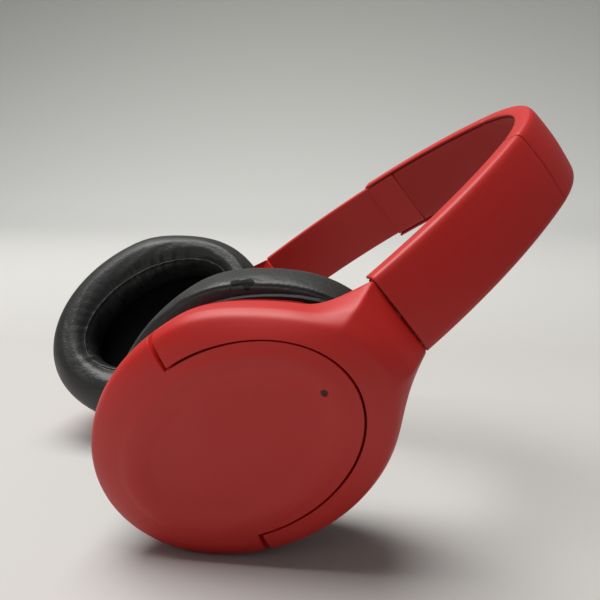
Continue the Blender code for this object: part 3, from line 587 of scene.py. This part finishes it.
def housing_section(angle):
    """The housing's profile from its outer centre over the rim to the bottom of its cavity."""
    slit = SLIT_INSET + SLIT_WIDTH / 2
    face = [
        (FACE_HEIGHT - 0.1, 0.02),
        (FACE_HEIGHT - 0.1, oval(angle, 26.0)),
        (FACE_HEIGHT + 0.1, oval(angle, 20.5)),
        (DISH_HEIGHT - 0.6, oval(angle, DISH_INSET + 2.8)),
        (DISH_HEIGHT - 0.1, oval(angle, DISH_INSET + 0.4)),
        (DISH_HEIGHT - 0.15, oval(angle, DISH_INSET - 2.4)),
        (FACE_HEIGHT + 0.4, oval(angle, slit + 1.5)),
        (FACE_HEIGHT, oval(angle, slit)),
    ]
    share = min(1.0, 8.0 * neck_lift(angle)[1])
    if in_yoke(angle):
        rim = [
            (FACE_HEIGHT - YOKE_THICKNESS - 0.5, oval(angle, slit + 0.2)),
            (FACE_HEIGHT - YOKE_THICKNESS - 1.1, oval(angle, YOKE_THICKNESS + 4.2)),
            (-0.9, oval(angle, YOKE_THICKNESS + 1.8)),
            (-3.0, oval(angle, YOKE_THICKNESS + 0.7)),
            (-YOKE_DEPTH - 0.5, oval(angle, YOKE_THICKNESS + 0.6)),
            (-YOKE_DEPTH - 0.8, oval(angle, 0.8 + 3.0 * share)),
        ]
        rim = smooth_run(face, 5) + straight_run(rim, 4)
    else:
        rim = [
            (3.7, oval(angle, 6.0)),
            (2.5, oval(angle, 3.4)),
            (1.0, oval(angle, 1.2)),
            (-1.0, oval(angle, 0.2)),
            (-3.0, oval(angle, 0.0)),
            (-YOKE_DEPTH - 0.8, oval(angle, 0.8)),
        ]
        whole = smooth_run(face + rim, 5)
        split = len(smooth_run(face, 5))
        rim = whole[:split] + straight_run(rim, 4)[:1] + smooth_run(rim, 4)[1:]
    back = [
        (2.4 - HOUSING_DEPTH, oval(angle, 2.4 + 1.6 * share)),
        (-HOUSING_DEPTH, oval(angle, BACK_LIP_INSET)),
        (-HOUSING_DEPTH, oval(angle, BACK_LIP_INSET + HOUSING_WALL + 0.5)),
        (-0.2, oval(angle, CAVITY_INSET)),
        (FACE_HEIGHT - HOUSING_WALL, oval(angle, CAVITY_INSET + 2.0)),
        (FACE_HEIGHT - HOUSING_WALL, 0.02),
    ]
    return rim + back


def housing_angles():
    """Even steps round the cup, with a close pair at each end of the yoke's recess."""
    edges = []
    for edge in (YOKE_REAR_TIP - TIP_GAP, YOKE_FRONT_TIP + TIP_GAP):
        edges += [(edge - 0.004) % (2 * pi), (edge + 0.004) % (2 * pi)]
    even = [2 * pi * index / HOUSING_STEPS for index in range(HOUSING_STEPS)]
    kept = [angle for angle in even if all(abs(angle - edge) > 0.015 for edge in edges)]
    return sorted(kept + edges)


def turned_solid(name, profile, start, direction, place, sides=32):
    """A solid turned about a line: profile lists (distance along the line, radius)."""
    along = Vector(direction).normalized()
    across = along.orthogonal().normalized()
    third = along.cross(across)
    rings = []
    for distance, radius in profile:
        ring = []
        for index in range(sides):
            angle = 2 * pi * index / sides
            point = Vector(start) + along * distance + (across * cos(angle) + third * sin(angle)) * radius
            ring.append(point)
        rings.append(ring)
    return loft(name, rings, place)


def cut_with(obj, cutters):
    """Cuts an object with others, and removes them."""
    for cutter in cutters:
        boolean = obj.modifiers.new("cut", "BOOLEAN")
        boolean.operation = "DIFFERENCE"
        boolean.object = cutter
    baked(obj)
    for cutter in cutters:
        bpy.data.objects.remove(cutter, do_unlink=True)
    obj.data.shade_smooth()
    obj.data.set_sharp_from_angle(angle=radians(38))
    return obj


# ---------------------------------------------------------------- controls and sockets
# Two push buttons, a charging socket and a headphone socket sit in the left housing's side wall, below
# the rear tip of the yoke. Each has a pocket with 0.3 mm of clearance round it.

BUTTON_LENGTH = 11.0
BUTTON_WIDTH = 4.0
CHARGE_SOCKET = (3.4, 9.4)
JACK_RADIUS = 3.2
CONTROL_ANGLES = {
    "power": radians(-42.0),
    "mode": radians(-62.0),
    "charge": radians(-84.0),
    "jack": radians(-104.0),
}
CONTROL_PLANE = -8.6


def wall_frame(angle):
    """A point on the left housing's side wall at the controls' depth, and the direction out of it."""
    radius = oval(angle, 0.75)
    point = Vector((CONTROL_PLANE, radius * cos(angle), radius * sin(angle)))
    outward = Vector((0.0, cos(angle) / CUP_HALF_WIDTH**2, sin(angle) / CUP_HALF_HEIGHT**2))
    return point, outward.normalized()


def rounded_pocket(name, angle, size, deep, high, place, edge=0.9):
    """A rounded bar that stands across the side wall: size is (across the wall, along it)."""
    point, outward = wall_frame(angle)
    across = Vector((1.0, 0.0, 0.0))
    along = outward.cross(across)
    rings = []
    for height in (-deep, high):
        ring = []
        for turn in range(32):
            corner = turn // 8
            a = turn % 8 / 7 * pi / 2 + corner * pi / 2
            u = (size[0] / 2 - edge) * (1 if corner in (0, 3) else -1) + edge * cos(a)
            v = (size[1] / 2 - edge) * (1 if corner in (0, 1) else -1) + edge * sin(a)
            ring.append(point + across * u + along * v + outward * height)
        rings.append(ring)
    return loft(name, rings, place)


def control_cutters(place):
    """The pockets of the buttons and sockets."""
    clear = 2 * FIT_GAP
    pockets = []
    for name in ("power", "mode"):
        size = (BUTTON_WIDTH + clear, BUTTON_LENGTH + clear)
        pockets.append(rounded_pocket(name, CONTROL_ANGLES[name], size, 3.4, 2.5, place))
    size = (CHARGE_SOCKET[0] + clear, CHARGE_SOCKET[1] + clear)
    pockets.append(rounded_pocket("charge", CONTROL_ANGLES["charge"], size, 5.3, 2.0, place, 1.2))
    point, outward = wall_frame(CONTROL_ANGLES["jack"])
    bore, mouth = JACK_RADIUS + FIT_GAP, JACK_RADIUS + 1.3
    profile = [(-5.3, bore), (-0.4, bore), (0.6, mouth), (2.0, mouth)]
    pockets.append(turned_solid("jack", profile, point, outward, place))
    return pockets


# ---------------------------------------------------------------- both housings
# The shell is lofted round the cup, its pole is closed, its edges are broken, and then the microphone's
# bore and, on the left, the pockets of the controls are cut.

for side_name, side in SIDES.items():
    rings = []
    for angle in housing_angles():
        rings.append([cup_point(side, angle, *point) for point in housing_section(angle)])
    place = cup_place(side)
    name = side_name + "_housing"
    housing = loft(name + "_fine", rings, place, closed_turn=True, closed_ring=False)
    bm = bmesh.new()
    bm.from_mesh(housing.data)
    bmesh.ops.remove_doubles(bm, verts=bm.verts, dist=1e-5)
    bmesh.ops.holes_fill(bm, edges=bm.edges, sides=0)
    bmesh.ops.recalc_face_normals(bm, faces=bm.faces)
    bm.to_mesh(housing.data)
    bm.free()
    break_edges(housing, 0.18)
    start = (side * (DISH_HEIGHT - 1.9), 0.0, MIC_HEIGHT)
    bore = MIC_RADIUS + 0.1
    profile = [(0.0, bore), (1.3, bore), (1.75, bore + 0.4), (4.0, bore + 2.65)]
    cutters = [turned_solid("mic_bore", profile, start, (side, 0, 0), place)]
    if side > 0:
        cutters += control_cutters(place)
    cut_with(housing, cutters)
    dress(housing, red_plastic, side_name + "_cup", [name])


# ---------------------------------------------------------------- carried-over nodes
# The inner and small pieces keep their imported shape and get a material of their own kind.

black_plastic = moulded_plastic("abs_black_moulded", "#151516", "#111112", 0.5, 0.3)
button_plastic = moulded_plastic("abs_red_polished", "#BD1B14", "#B31812", 0.36, 0.3)

steel, tree, shader = new_material("steel_cold_drawn", "#BEBFC2", 0.3, 1.0)
place, _, _ = grain(tree, shader, 0.12, 0.004)
vary(tree, place, 5.0, 0.24, 0.4, shader.inputs["Roughness"])

film, tree, shader = new_material("polyester_film_formed", "#8A8A80", 0.3, IOR=1.57)
place, _, _ = grain(tree, shader, 1.2, 0.02)
vary(tree, place, 6.0, 0.24, 0.38, shader.inputs["Roughness"])

foil, tree, shader = new_material("aluminium_pouch_foil", "#A9ABB0", 0.38, 1.0)
place, _, _ = grain(tree, shader, 3.0, 0.15)
vary(tree, place, 9.0, 0.3, 0.5, shader.inputs["Roughness"])

laminate, tree, shader = new_material("glass_laminate_green_mask", "#1E5A33", 0.4, IOR=1.55)
place, _, _ = grain(tree, shader, 0.6, 0.02)
checks = add(tree, "ShaderNodeTexChecker", {"Vector": place, "Scale": 650.0})
checks.inputs["Color1"].default_value = linear("#1E5A33")
checks.inputs["Color2"].default_value = linear("#245F39")
tree.links.new(checks.outputs[0], shader.inputs["Base Color"])

copper, tree, shader = new_material("copper_clad_film", "#C98A5B", 0.35, 1.0)
place, _, _ = grain(tree, shader, 0.8, 0.01)
vary(tree, place, 7.0, 0.28, 0.45, shader.inputs["Roughness"])

finishes = {
    "black_plastic": black_plastic,
    "steel": steel,
    "driver_film": film,
    "button_red_plastic": button_plastic,
    "battery_foil": foil,
    "circuit_board": laminate,
    "touch_sheet_copper": copper,
    "moulded_red_plastic": red_plastic,
}
for part in frame["record"]["subparts"]:
    if part["material_slot"] in finishes:
        node = frame["nodes"][part["node"]]
        node.data.materials.clear()
        node.data.materials.append(finishes[part["material_slot"]])


# ---------------------------------------------------------------- speaker cloth
# Black knitted cloth over thin foam closes the bottom of each pad's hollow. It bulges slightly towards
# the ear, and its knit has a pitch of 0.8 mm. Its two tones are darker than the cloth's own black: that is
# painted shade of the deep hollow.

PAD_RING_WIDTH = 8.0
RING_TOP = -HOUSING_DEPTH - FIT_GAP - 1.6 - FIT_GAP
CLOTH_TOP = RING_TOP - 0.8
CLOTH_THICKNESS = 0.6
CLOTH_BULGE = 1.6
CLOTH_TURNS = 96
CLOTH_HALF_WIDTH = CUP_HALF_WIDTH - BACK_LIP_INSET + 1.5 - PAD_RING_WIDTH - FIT_GAP
CLOTH_HALF_HEIGHT = CUP_HALF_HEIGHT - BACK_LIP_INSET + 1.5 - PAD_RING_WIDTH - FIT_GAP

knit, tree, shader = new_material("polyester_knit_black", "#0A0A0B", 0.92, IOR=1.3)
place = add(tree, "ShaderNodeTexCoord").outputs["Object"]
threads = []
for direction in ("Y", "Z"):
    wave = add(
        tree,
        "ShaderNodeTexWave",
        {"Vector": place, "Scale": 400.0, "Distortion": 1.5, "Detail": 1.0},
        bands_direction=direction,
    )
    threads.append(wave.outputs["Fac"])
both = add(tree, "ShaderNodeMath", {0: threads[0], 1: threads[1]}, operation="MULTIPLY")
bump = add(tree, "ShaderNodeBump", {"Height": both.outputs[0], "Distance": 0.0003, "Strength": 0.8})
tree.links.new(bump.outputs[0], shader.inputs["Normal"])
# Partly painted shade: the knit's two tones are the cloth's black, darkened further for the shade deep in the
# pad's hollow.
knit_tones_and_painted_shade = add(
    tree,
    "ShaderNodeMix",
    {0: both.outputs[0], 6: linear("#040405"), 7: linear("#131315")},
    data_type="RGBA",
)
tree.links.new(knit_tones_and_painted_shade.outputs[2], shader.inputs["Base Color"])


def cloth_ring(side, depth, share):
    """One oval ring of the cloth at a depth, at a share of its full size."""
    ring = []
    for index in range(CLOTH_TURNS):
        angle = 2 * pi * index / CLOTH_TURNS
        radius = share * oval_of(angle, CLOTH_HALF_WIDTH, CLOTH_HALF_HEIGHT)
        ring.append(cup_point(side, angle, depth, radius))
    return ring


for side_name, side in SIDES.items():
    rings = [cloth_ring(side, CLOTH_TOP, 1.0)]
    for share in (1.0, 0.97, 0.9, 0.8, 0.65, 0.5, 0.35, 0.2, 0.05):
        bulge = CLOTH_BULGE * (1 - share**2)
        rings.append(cloth_ring(side, CLOTH_TOP - CLOTH_THICKNESS - bulge, share))
    name = side_name + "_speaker_cloth"
    cloth = loft(name + "_bulged", rings, cup_place(side))
    dress(cloth, knit, side_name + "_cup", [name])


# ---------------------------------------------------------------- ear pads
# Each pad is a ring of slow foam in black imitation leather: a wide outer panel that rolls over the front,
# and a narrow inner panel down into the hollow, sewn together round the opening. A cloth simulation blows
# the leather up between its back and the seam, which hold it down, and fine creases cross the seam.

PAD_TOP = RING_TOP - 1.8 - FIT_GAP
PAD_THICKNESS = 20.0
PAD_OUTLINE_INSET = -0.3
PAD_NECK_RELIEF = 3.6
PAD_RELIEF_SPREAD = radians(24.0)
PAD_REAR_FULLNESS = 2.2
PAD_HOLE_HALF_HEIGHT = 29.0
PAD_HOLE_HALF_WIDTH = 17.5
PAD_TURNS = 168
LEATHER_PRESSURE = 4.0
LEATHER_SLACK = -0.012
MOST_SWELL = 0.0009

leather, tree, shader = new_material("imitation_leather_black", "#212121", 0.48, IOR=1.5)
place = add(tree, "ShaderNodeTexCoord").outputs["Object"]
pebbles = add(tree, "ShaderNodeTexVoronoi", {"Vector": place, "Scale": 1000.0 / 0.9, "Randomness": 0.9})
fine = add(tree, "ShaderNodeTexNoise", {"Vector": place, "Scale": 1000.0 / 3.0, "Detail": 6.0})
first = add(
    tree,
    "ShaderNodeBump",
    {"Height": pebbles.outputs["Distance"], "Distance": 0.00014, "Strength": 0.5},
)
second = add(
    tree,
    "ShaderNodeBump",
    {"Height": fine.outputs[0], "Distance": 0.0004, "Strength": 0.35, "Normal": first.outputs[0]},
)
tree.links.new(second.outputs[0], shader.inputs["Normal"])
vary(tree, place, 12.0, 0.42, 0.56, shader.inputs["Roughness"])


def pad_outline(angle):
    """The pad's section as (outward, radius) points: back, outer side, front and inner wall."""
    top = PAD_TOP
    bottom = PAD_TOP - PAD_THICKNESS
    relief = PAD_NECK_RELIEF * exp(-(((angle - pi / 2) / PAD_RELIEF_SPREAD) ** 2))
    relief -= PAD_REAR_FULLNESS * max(0.0, cos(angle)) ** 2
    outer = oval(angle, PAD_OUTLINE_INSET) - relief
    inner = oval_of(angle, PAD_HOLE_HALF_WIDTH, PAD_HOLE_HALF_HEIGHT)
    width = outer - inner
    low_side = [(top, outer - 1.5), (top - 1.2, outer - 0.5), (top - 3.2, outer - 0.1)]
    roll = [
        (top - 3.2, outer - 0.1),
        (top - 7.5, outer),
        (top - 12.5, outer - 0.6),
        (bottom + 3.2, outer - 3.0),
        (bottom + 0.7, outer - 0.36 * width),
        (bottom, outer - 0.54 * width),
        (bottom + 1.0, outer - 0.74 * width),
        (bottom + 3.6, outer - 0.88 * width),
    ]
    throat = [
        (bottom + 3.6, outer - 0.88 * width),
        (bottom + 6.5, inner + 0.3),
        (top - 8.0, inner),
        (top - 3.0, inner + 0.4),
        (top, inner + 1.8),
    ]
    return smooth_run(low_side, 3)[:-1] + smooth_run(roll, 4)[:-1] + smooth_run(throat, 3)


SIDE_SEAM = 6
MOUTH_SEAM = 6 + 28
PAD_BACK = (0, 1, 2, 45, 46)


def blown_up(obj, held):
    """Inflates a skin that is held at some of its rings, for a short cloth simulation."""
    rest = np.array([vertex.co[:] for vertex in obj.data.vertices])
    group = obj.vertex_groups.new(name="held")
    group.add(held, 1.0, "REPLACE")
    cloth = obj.modifiers.new("leather", "CLOTH")
    settings = cloth.settings
    settings.quality = 5
    settings.mass = 0.15
    settings.tension_stiffness = 12.0
    settings.compression_stiffness = 8.0
    settings.shear_stiffness = 4.0
    settings.bending_stiffness = 0.02
    settings.use_pressure = True
    settings.uniform_pressure_force = LEATHER_PRESSURE
    settings.vertex_group_mass = "held"
    settings.shrink_min = LEATHER_SLACK
    settings.effector_weights.gravity = 0.0
    cloth.collision_settings.use_self_collision = False
    cloth.collision_settings.use_collision = False
    scene = bpy.context.scene
    scene.frame_start, scene.frame_end = 1, 20
    cloth.point_cache.frame_start, cloth.point_cache.frame_end = 1, 20
    for step in range(1, 21):
        scene.frame_set(step)
    baked(obj)
    scene.frame_set(1)
    moved = np.array([vertex.co[:] for vertex in obj.data.vertices])
    shift = moved - rest
    length = np.linalg.norm(shift, axis=1, keepdims=True)
    shift *= np.minimum(1.0, MOST_SWELL / np.maximum(length, 1e-9))
    obj.data.vertices.foreach_set("co", (rest + shift).astype(np.float32).ravel())
    obj.data.update()
    return obj


def pucker(obj, size, seed):
    """Draws fine creases across the seams, fading away from them."""
    rng = np.random.default_rng(seed)
    count = len(obj.data.vertices) // size
    obj.data.update()
    points = np.array([vertex.co[:] for vertex in obj.data.vertices])
    normals = np.array([vertex.normal[:] for vertex in obj.data.vertices])
    turn = np.repeat(np.arange(count), size) / count * 2 * pi
    ring = np.tile(np.arange(size), count)
    wave = np.zeros(len(points))
    for seam, reach, depth in ((MOUTH_SEAM, 5.0, 0.00026), (SIDE_SEAM, 1.5, 0.00004)):
        crease = np.zeros(len(points))
        for _ in range(26):
            often = rng.integers(14, 64)
            crease += rng.uniform(0.4, 1.0) * np.cos(often * turn + rng.uniform(0, 2 * pi))
        near = np.exp(-(((ring - seam) / reach) ** 2))
        wave += depth * near * np.clip(crease / 4.0, -1.2, 1.2)
    points += normals * wave[:, None]
    obj.data.vertices.foreach_set("co", points.astype(np.float32).ravel())
    obj.data.update()
    return obj


def seam_path(obj, size, ring, lift):
    """The points of one seam of a pad, lifted off the leather by some metres."""
    path = []
    for index in range(ring, len(obj.data.vertices), size):
        vertex = obj.data.vertices[index]
        path.append(vertex.co + vertex.normal * lift)
    return path


# ---------------------------------------------------------------- sewing
# Geometry node trees make what follows a seam: a round piping, and a run of stitches at a set pitch.


def node_tree(name, sizes):
    """A new geometry node tree with a mesh path and some sizes as its named inputs."""
    tree = bpy.data.node_groups.new(name, "GeometryNodeTree")
    tree.interface.new_socket("Path", in_out="INPUT", socket_type="NodeSocketGeometry")
    for key, value in sizes.items():
        made = tree.interface.new_socket(key, in_out="INPUT", socket_type="NodeSocketFloat")
        made.default_value = value
    tree.interface.new_socket("Thread", in_out="INPUT", socket_type="NodeSocketMaterial")
    tree.interface.new_socket("Mesh", in_out="OUTPUT", socket_type="NodeSocketGeometry")
    return tree, tree.nodes.new("NodeGroupInput"), tree.nodes.new("NodeGroupOutput")


def finish_tree(tree, entry, leave, geometry):
    """Ends a tree: real copies, smooth faces and the material."""
    real = add(tree, "GeometryNodeRealizeInstances", {0: geometry})
    smooth = add(tree, "GeometryNodeSetShadeSmooth", {0: real.outputs[0]})
    painted = add(
        tree,
        "GeometryNodeSetMaterial",
        {0: smooth.outputs[0], "Material": entry.outputs["Thread"]},
    )
    tree.links.new(painted.outputs[0], leave.inputs[0])
    return tree


def piping_tree():
    """A round welt along the path."""
    tree, entry, leave = node_tree("piping_along_seam", {"Radius": 0.0005})
    line = add(tree, "GeometryNodeMeshToCurve", {0: entry.outputs["Path"]})
    rim = add(tree, "GeometryNodeCurvePrimitiveCircle", {"Resolution": 10, "Radius": entry.outputs["Radius"]})
    welt = add(tree, "GeometryNodeCurveToMesh", {0: line.outputs[0], 1: rim.outputs[0]})
    return finish_tree(tree, entry, leave, welt.outputs[0])


def stitch_tree():
    """Short thread loops at an even pitch along the path, each turned a little at random."""
    sizes = {"Pitch": 0.0024, "Length": 0.0017, "Thickness": 0.00045}
    tree, entry, leave = node_tree("stitches_along_seam", sizes)
    line = add(tree, "GeometryNodeMeshToCurve", {0: entry.outputs["Path"]})
    even = add(
        tree,
        "GeometryNodeResampleCurve",
        {0: line.outputs[0], "Length": entry.outputs["Pitch"]},
        mode="LENGTH",
    )
    bead = add(tree, "GeometryNodeMeshUVSphere", {"Segments": 8, "Rings": 6, "Radius": 0.5})
    scale = add(
        tree,
        "ShaderNodeCombineXYZ",
        {0: entry.outputs["Length"], 1: entry.outputs["Thickness"], 2: entry.outputs["Thickness"]},
    )
    thread = add(tree, "GeometryNodeTransform", {0: bead.outputs[0], "Scale": scale.outputs[0]})
    tangent = add(tree, "GeometryNodeInputTangent")
    facing = add(tree, "FunctionNodeAlignRotationToVector", {"Vector": tangent.outputs[0]}, axis="X")
    copies = add(
        tree,
        "GeometryNodeInstanceOnPoints",
        {0: even.outputs[0], "Instance": thread.outputs[0], "Rotation": facing.outputs[0]},
    )
    askew = add(
        tree,
        "FunctionNodeRandomValue",
        {0: (-0.06, -0.06, -0.12), 1: (0.06, 0.06, 0.12), "Seed": 7},
        data_type="FLOAT_VECTOR",
    )
    turned = add(tree, "GeometryNodeRotateInstances", {0: copies.outputs[0], "Rotation": askew.outputs[0]})
    return finish_tree(tree, entry, leave, turned.outputs[0])


def grown(name, path, tree, material, closed=True, **sizes):
    """Runs a tree along a path of points and keeps the result as a plain mesh."""
    source = bpy.data.meshes.new(name + "_path")
    count = len(path)
    edges = [(i, (i + 1) % count) for i in range(count if closed else count - 1)]
    source.from_pydata([tuple(point) for point in path], edges, [])
    obj = bpy.data.objects.new(name, source)
    bpy.context.scene.collection.objects.link(obj)
    modifier = obj.modifiers.new("grown", "NODES")
    modifier.node_group = tree
    for item in tree.interface.items_tree:
        if item.in_out == "INPUT" and item.name in sizes:
            modifier[item.identifier] = sizes[item.name]
        if item.in_out == "INPUT" and item.name == "Thread":
            modifier[item.identifier] = material
    return baked(obj)


piping = piping_tree()
stitching = stitch_tree()


# ---------------------------------------------------------------- cracked leather
# The left pad's leather has split over its front shoulder, in a patch about 14 mm long. It is a copy of
# the pads' leather, darker, rougher and sunk where its flakes have come away.

WEAR_ANGLE = radians(146.0)
WEAR_BELOW_BACK = 1.2
WEAR_REACH = 0.0036
WEAR_STRETCH = 2.6


def worn_leather():
    """The pads' leather with one cracked and flaking patch."""
    made = leather.copy()
    made.name = "imitation_leather_black_cracked"
    tree = made.node_tree
    shader = tree.nodes["Principled BSDF"]
    radius = oval(WEAR_ANGLE, PAD_OUTLINE_INSET)
    centre = cup_place(1) @ Vector(cup_point(1, WEAR_ANGLE, PAD_TOP - WEAR_BELOW_BACK, radius))
    ahead = cup_place(1) @ Vector(cup_point(1, WEAR_ANGLE + 0.1, PAD_TOP - WEAR_BELOW_BACK, radius))
    run = (ahead - centre).normalized()
    place = add(tree, "ShaderNodeTexCoord").outputs["Object"]
    offset = add(tree, "ShaderNodeVectorMath", {0: place, 1: centre}, operation="SUBTRACT")
    along = add(tree, "ShaderNodeVectorMath", {0: offset.outputs[0], 1: run}, operation="DOT_PRODUCT")
    squeeze = add(
        tree,
        "ShaderNodeMath",
        {0: along.outputs["Value"], 1: 1.0 / WEAR_STRETCH - 1.0},
        operation="MULTIPLY",
    )
    shift = add(tree, "ShaderNodeVectorMath", {0: run, "Scale": squeeze.outputs[0]}, operation="SCALE")
    close = add(tree, "ShaderNodeVectorMath", {0: offset.outputs[0], 1: shift.outputs[0]}, operation="ADD")
    distance = add(tree, "ShaderNodeVectorMath", {0: close.outputs[0]}, operation="LENGTH")
    patch = add(
        tree,
        "ShaderNodeMapRange",
        {
            "Value": distance.outputs["Value"],
            "From Max": WEAR_REACH,
            "To Min": 0.62,
            "To Max": 0.0,
        },
    )
    flakes = add(tree, "ShaderNodeTexNoise", {"Vector": place, "Scale": 1000.0 / 2.2, "Detail": 5.0})
    both = add(tree, "ShaderNodeMath", {0: patch.outputs[0], 1: flakes.outputs[0]}, operation="ADD")
    torn = add(tree, "ShaderNodeMapRange", {"Value": both.outputs[0], "From Min": 0.86, "From Max": 0.9})
    colour = add(
        tree,
        "ShaderNodeMix",
        {0: torn.outputs[0], 6: shader.inputs["Base Color"].default_value[:], 7: linear("#060606")},
        data_type="RGBA",
    )
    tree.links.new(colour.outputs[2], shader.inputs["Base Color"])
    sheen = shader.inputs["Roughness"].links[0].from_socket
    rough = add(tree, "ShaderNodeMix", {0: torn.outputs[0], 2: sheen, 3: 0.9})
    tree.links.new(rough.outputs[0], shader.inputs["Roughness"])
    bumped = shader.inputs["Normal"].links[0].from_socket
    sunk = add(
        tree,
        "ShaderNodeBump",
        {"Height": torn.outputs[0], "Distance": 0.0005, "Strength": 0.9, "Normal": bumped},
        invert=True,
    )
    tree.links.new(sunk.outputs[0], shader.inputs["Normal"])
    return made


pad_leather = {"left": worn_leather(), "right": leather}

thread_black, tree, shader = new_material("polyester_thread_black", "#111112", 0.6, IOR=1.5)
place, _, _ = grain(tree, shader, 0.25, 0.03)
vary(tree, place, 3.0, 0.5, 0.7, shader.inputs["Roughness"])

for seed, (side_name, side) in enumerate(SIDES.items()):
    rings = []
    for index in range(PAD_TURNS):
        angle = 2 * pi * index / PAD_TURNS
        rings.append([cup_point(side, angle, *point) for point in pad_outline(angle)])
    size = len(rings[0])
    name = side_name + "_ear_pad"
    pad = loft(name + "_leather", rings, cup_place(side), closed_turn=True)
    held_rings = set(PAD_BACK) | {MOUTH_SEAM} | {size - 1, size - 2}
    held = [index for index in range(len(pad.data.vertices)) if index % size in held_rings]
    blown_up(pad, held)
    pucker(pad, size, seed + 3)
    body = side_name + "_cup"
    welt = grown(name + "_piping", seam_path(pad, size, MOUTH_SEAM, -0.00005), piping, leather, Radius=0.0004)
    dress(welt, leather, body)
    mouth = seam_path(pad, size, MOUTH_SEAM + 1, 0.0001)
    sewn = grown(name + "_mouth_stitches", mouth, stitching, thread_black, Pitch=0.0026)
    dress(sewn, thread_black, body)
    rounder = pad.modifiers.new("rounder", "SUBSURF")
    rounder.levels = 1
    rounder.render_levels = 1
    baked(pad)
    pad.data.shade_smooth()
    dress(pad, pad_leather[side_name], body, [name])


# ---------------------------------------------------------------- room, light and camera
# A pale sweep of paper from the table up to a soft back wall, a large soft light overhead and a weaker
# one from the camera's side. The paper's colour carries painted light and shade: darker on the floor near
# the headset, brightest far back at the foot of the wall, and darker again up the wall.

FLOOR_HALF = 1.6
WALL_DISTANCE = 1.1
SWEEP_RADIUS = 0.5

paper, tree, shader = new_material("paper_sweep_pale_grey", "#DEDDDA", 0.85, IOR=1.45)
place, _, _ = grain(tree, shader, 1.5, 0.01)
split = add(tree, "ShaderNodeSeparateXYZ", {0: place})
rise = add(
    tree,
    "ShaderNodeMapRange",
    {"Value": split.outputs["Z"], "From Min": 0.04, "From Max": 0.5, "To Min": 0.0, "To Max": 1.0},
)
back = add(
    tree,
    "ShaderNodeMapRange",
    {"Value": split.outputs["X"], "From Min": -0.2, "From Max": -1.1, "To Min": 0.0, "To Max": 1.0},
)
# Painted light and shade: the floor is darker near the headset and brightest far back at the wall's foot.
near = add(
    tree,
    "ShaderNodeMix",
    {0: back.outputs[0], 6: linear("#BDBBB8"), 7: linear("#F4F4F1")},
    data_type="RGBA",
)
# Painted shade: the paper darkens from the floor up the wall.
painted_paper_light_and_shade = add(
    tree,
    "ShaderNodeMix",
    {0: rise.outputs[0], 6: near.outputs[2], 7: linear("#BDBEBA")},
    data_type="RGBA",
)
tree.links.new(painted_paper_light_and_shade.outputs[2], shader.inputs["Base Color"])


def sweep_profile():
    """The paper's line from in front of the headset, back along the table and up the wall."""
    points = [(1.6, 0.0), (0.5, 0.0), (0.0, 0.0), (-WALL_DISTANCE, 0.0)]
    for step in range(1, 17):
        angle = step / 16 * pi / 2
        points.append((-WALL_DISTANCE - SWEEP_RADIUS * sin(angle), SWEEP_RADIUS * (1 - cos(angle))))
    return points + [(-WALL_DISTANCE - SWEEP_RADIUS, 2.4)]


bm = bmesh.new()
columns = []
for y in (-FLOOR_HALF, FLOOR_HALF):
    columns.append([bm.verts.new((x, y, z)) for x, z in sweep_profile()])
for index in range(len(columns[0]) - 1):
    bm.faces.new((columns[0][index], columns[0][index + 1], columns[1][index + 1], columns[1][index]))
bmesh.ops.recalc_face_normals(bm, faces=bm.faces)
mesh = bpy.data.meshes.new("paper_sweep")
bm.to_mesh(mesh)
bm.free()
mesh.shade_smooth()
sweep = bpy.data.objects.new("paper_sweep", mesh)
bpy.context.scene.collection.objects.link(sweep)
mesh.materials.append(paper)


def soft_light(name, place, target, size, power, colour="#FFFFFF"):
    """A square area light that faces a point."""
    lamp = bpy.data.lights.new(name, "AREA")
    lamp.shape = "SQUARE"
    lamp.size = size
    lamp.energy = power
    lamp.color = linear(colour)[:3]
    obj = bpy.data.objects.new(name, lamp)
    obj.location = place
    obj.rotation_euler = (Vector(target) - Vector(place)).to_track_quat("-Z", "Y").to_euler()
    bpy.context.scene.collection.objects.link(obj)
    return obj


soft_light("overhead_softbox", (-0.05, -0.32, 1.2), (0.0, 0.0, 0.05), 1.0, 23.0, "#FFFEFC")
soft_light("front_fill", (1.3, -0.5, 0.7), (0.0, 0.0, 0.06), 0.8, 1.0, "#FFFFFF")

world = bpy.data.worlds.new("room")
bpy.context.scene.world = world
world.use_nodes = True
world.node_tree.nodes["Background"].inputs["Color"].default_value = linear("#F2F3F4")
world.node_tree.nodes["Background"].inputs["Strength"].default_value = 0.18

lens = bpy.data.cameras.new("camera")
lens.lens = 49.01
lens.sensor_width = 36.0
lens.clip_start = 0.01
camera = bpy.data.objects.new("camera", lens)
camera.location = (0.27523, 0.02821, 0.10723)
camera.rotation_euler = (radians(80.65), radians(-0.04), radians(94.26))
bpy.context.scene.collection.objects.link(camera)
bpy.context.scene.camera = camera
bpy.context.scene.view_settings.view_transform = "Standard"
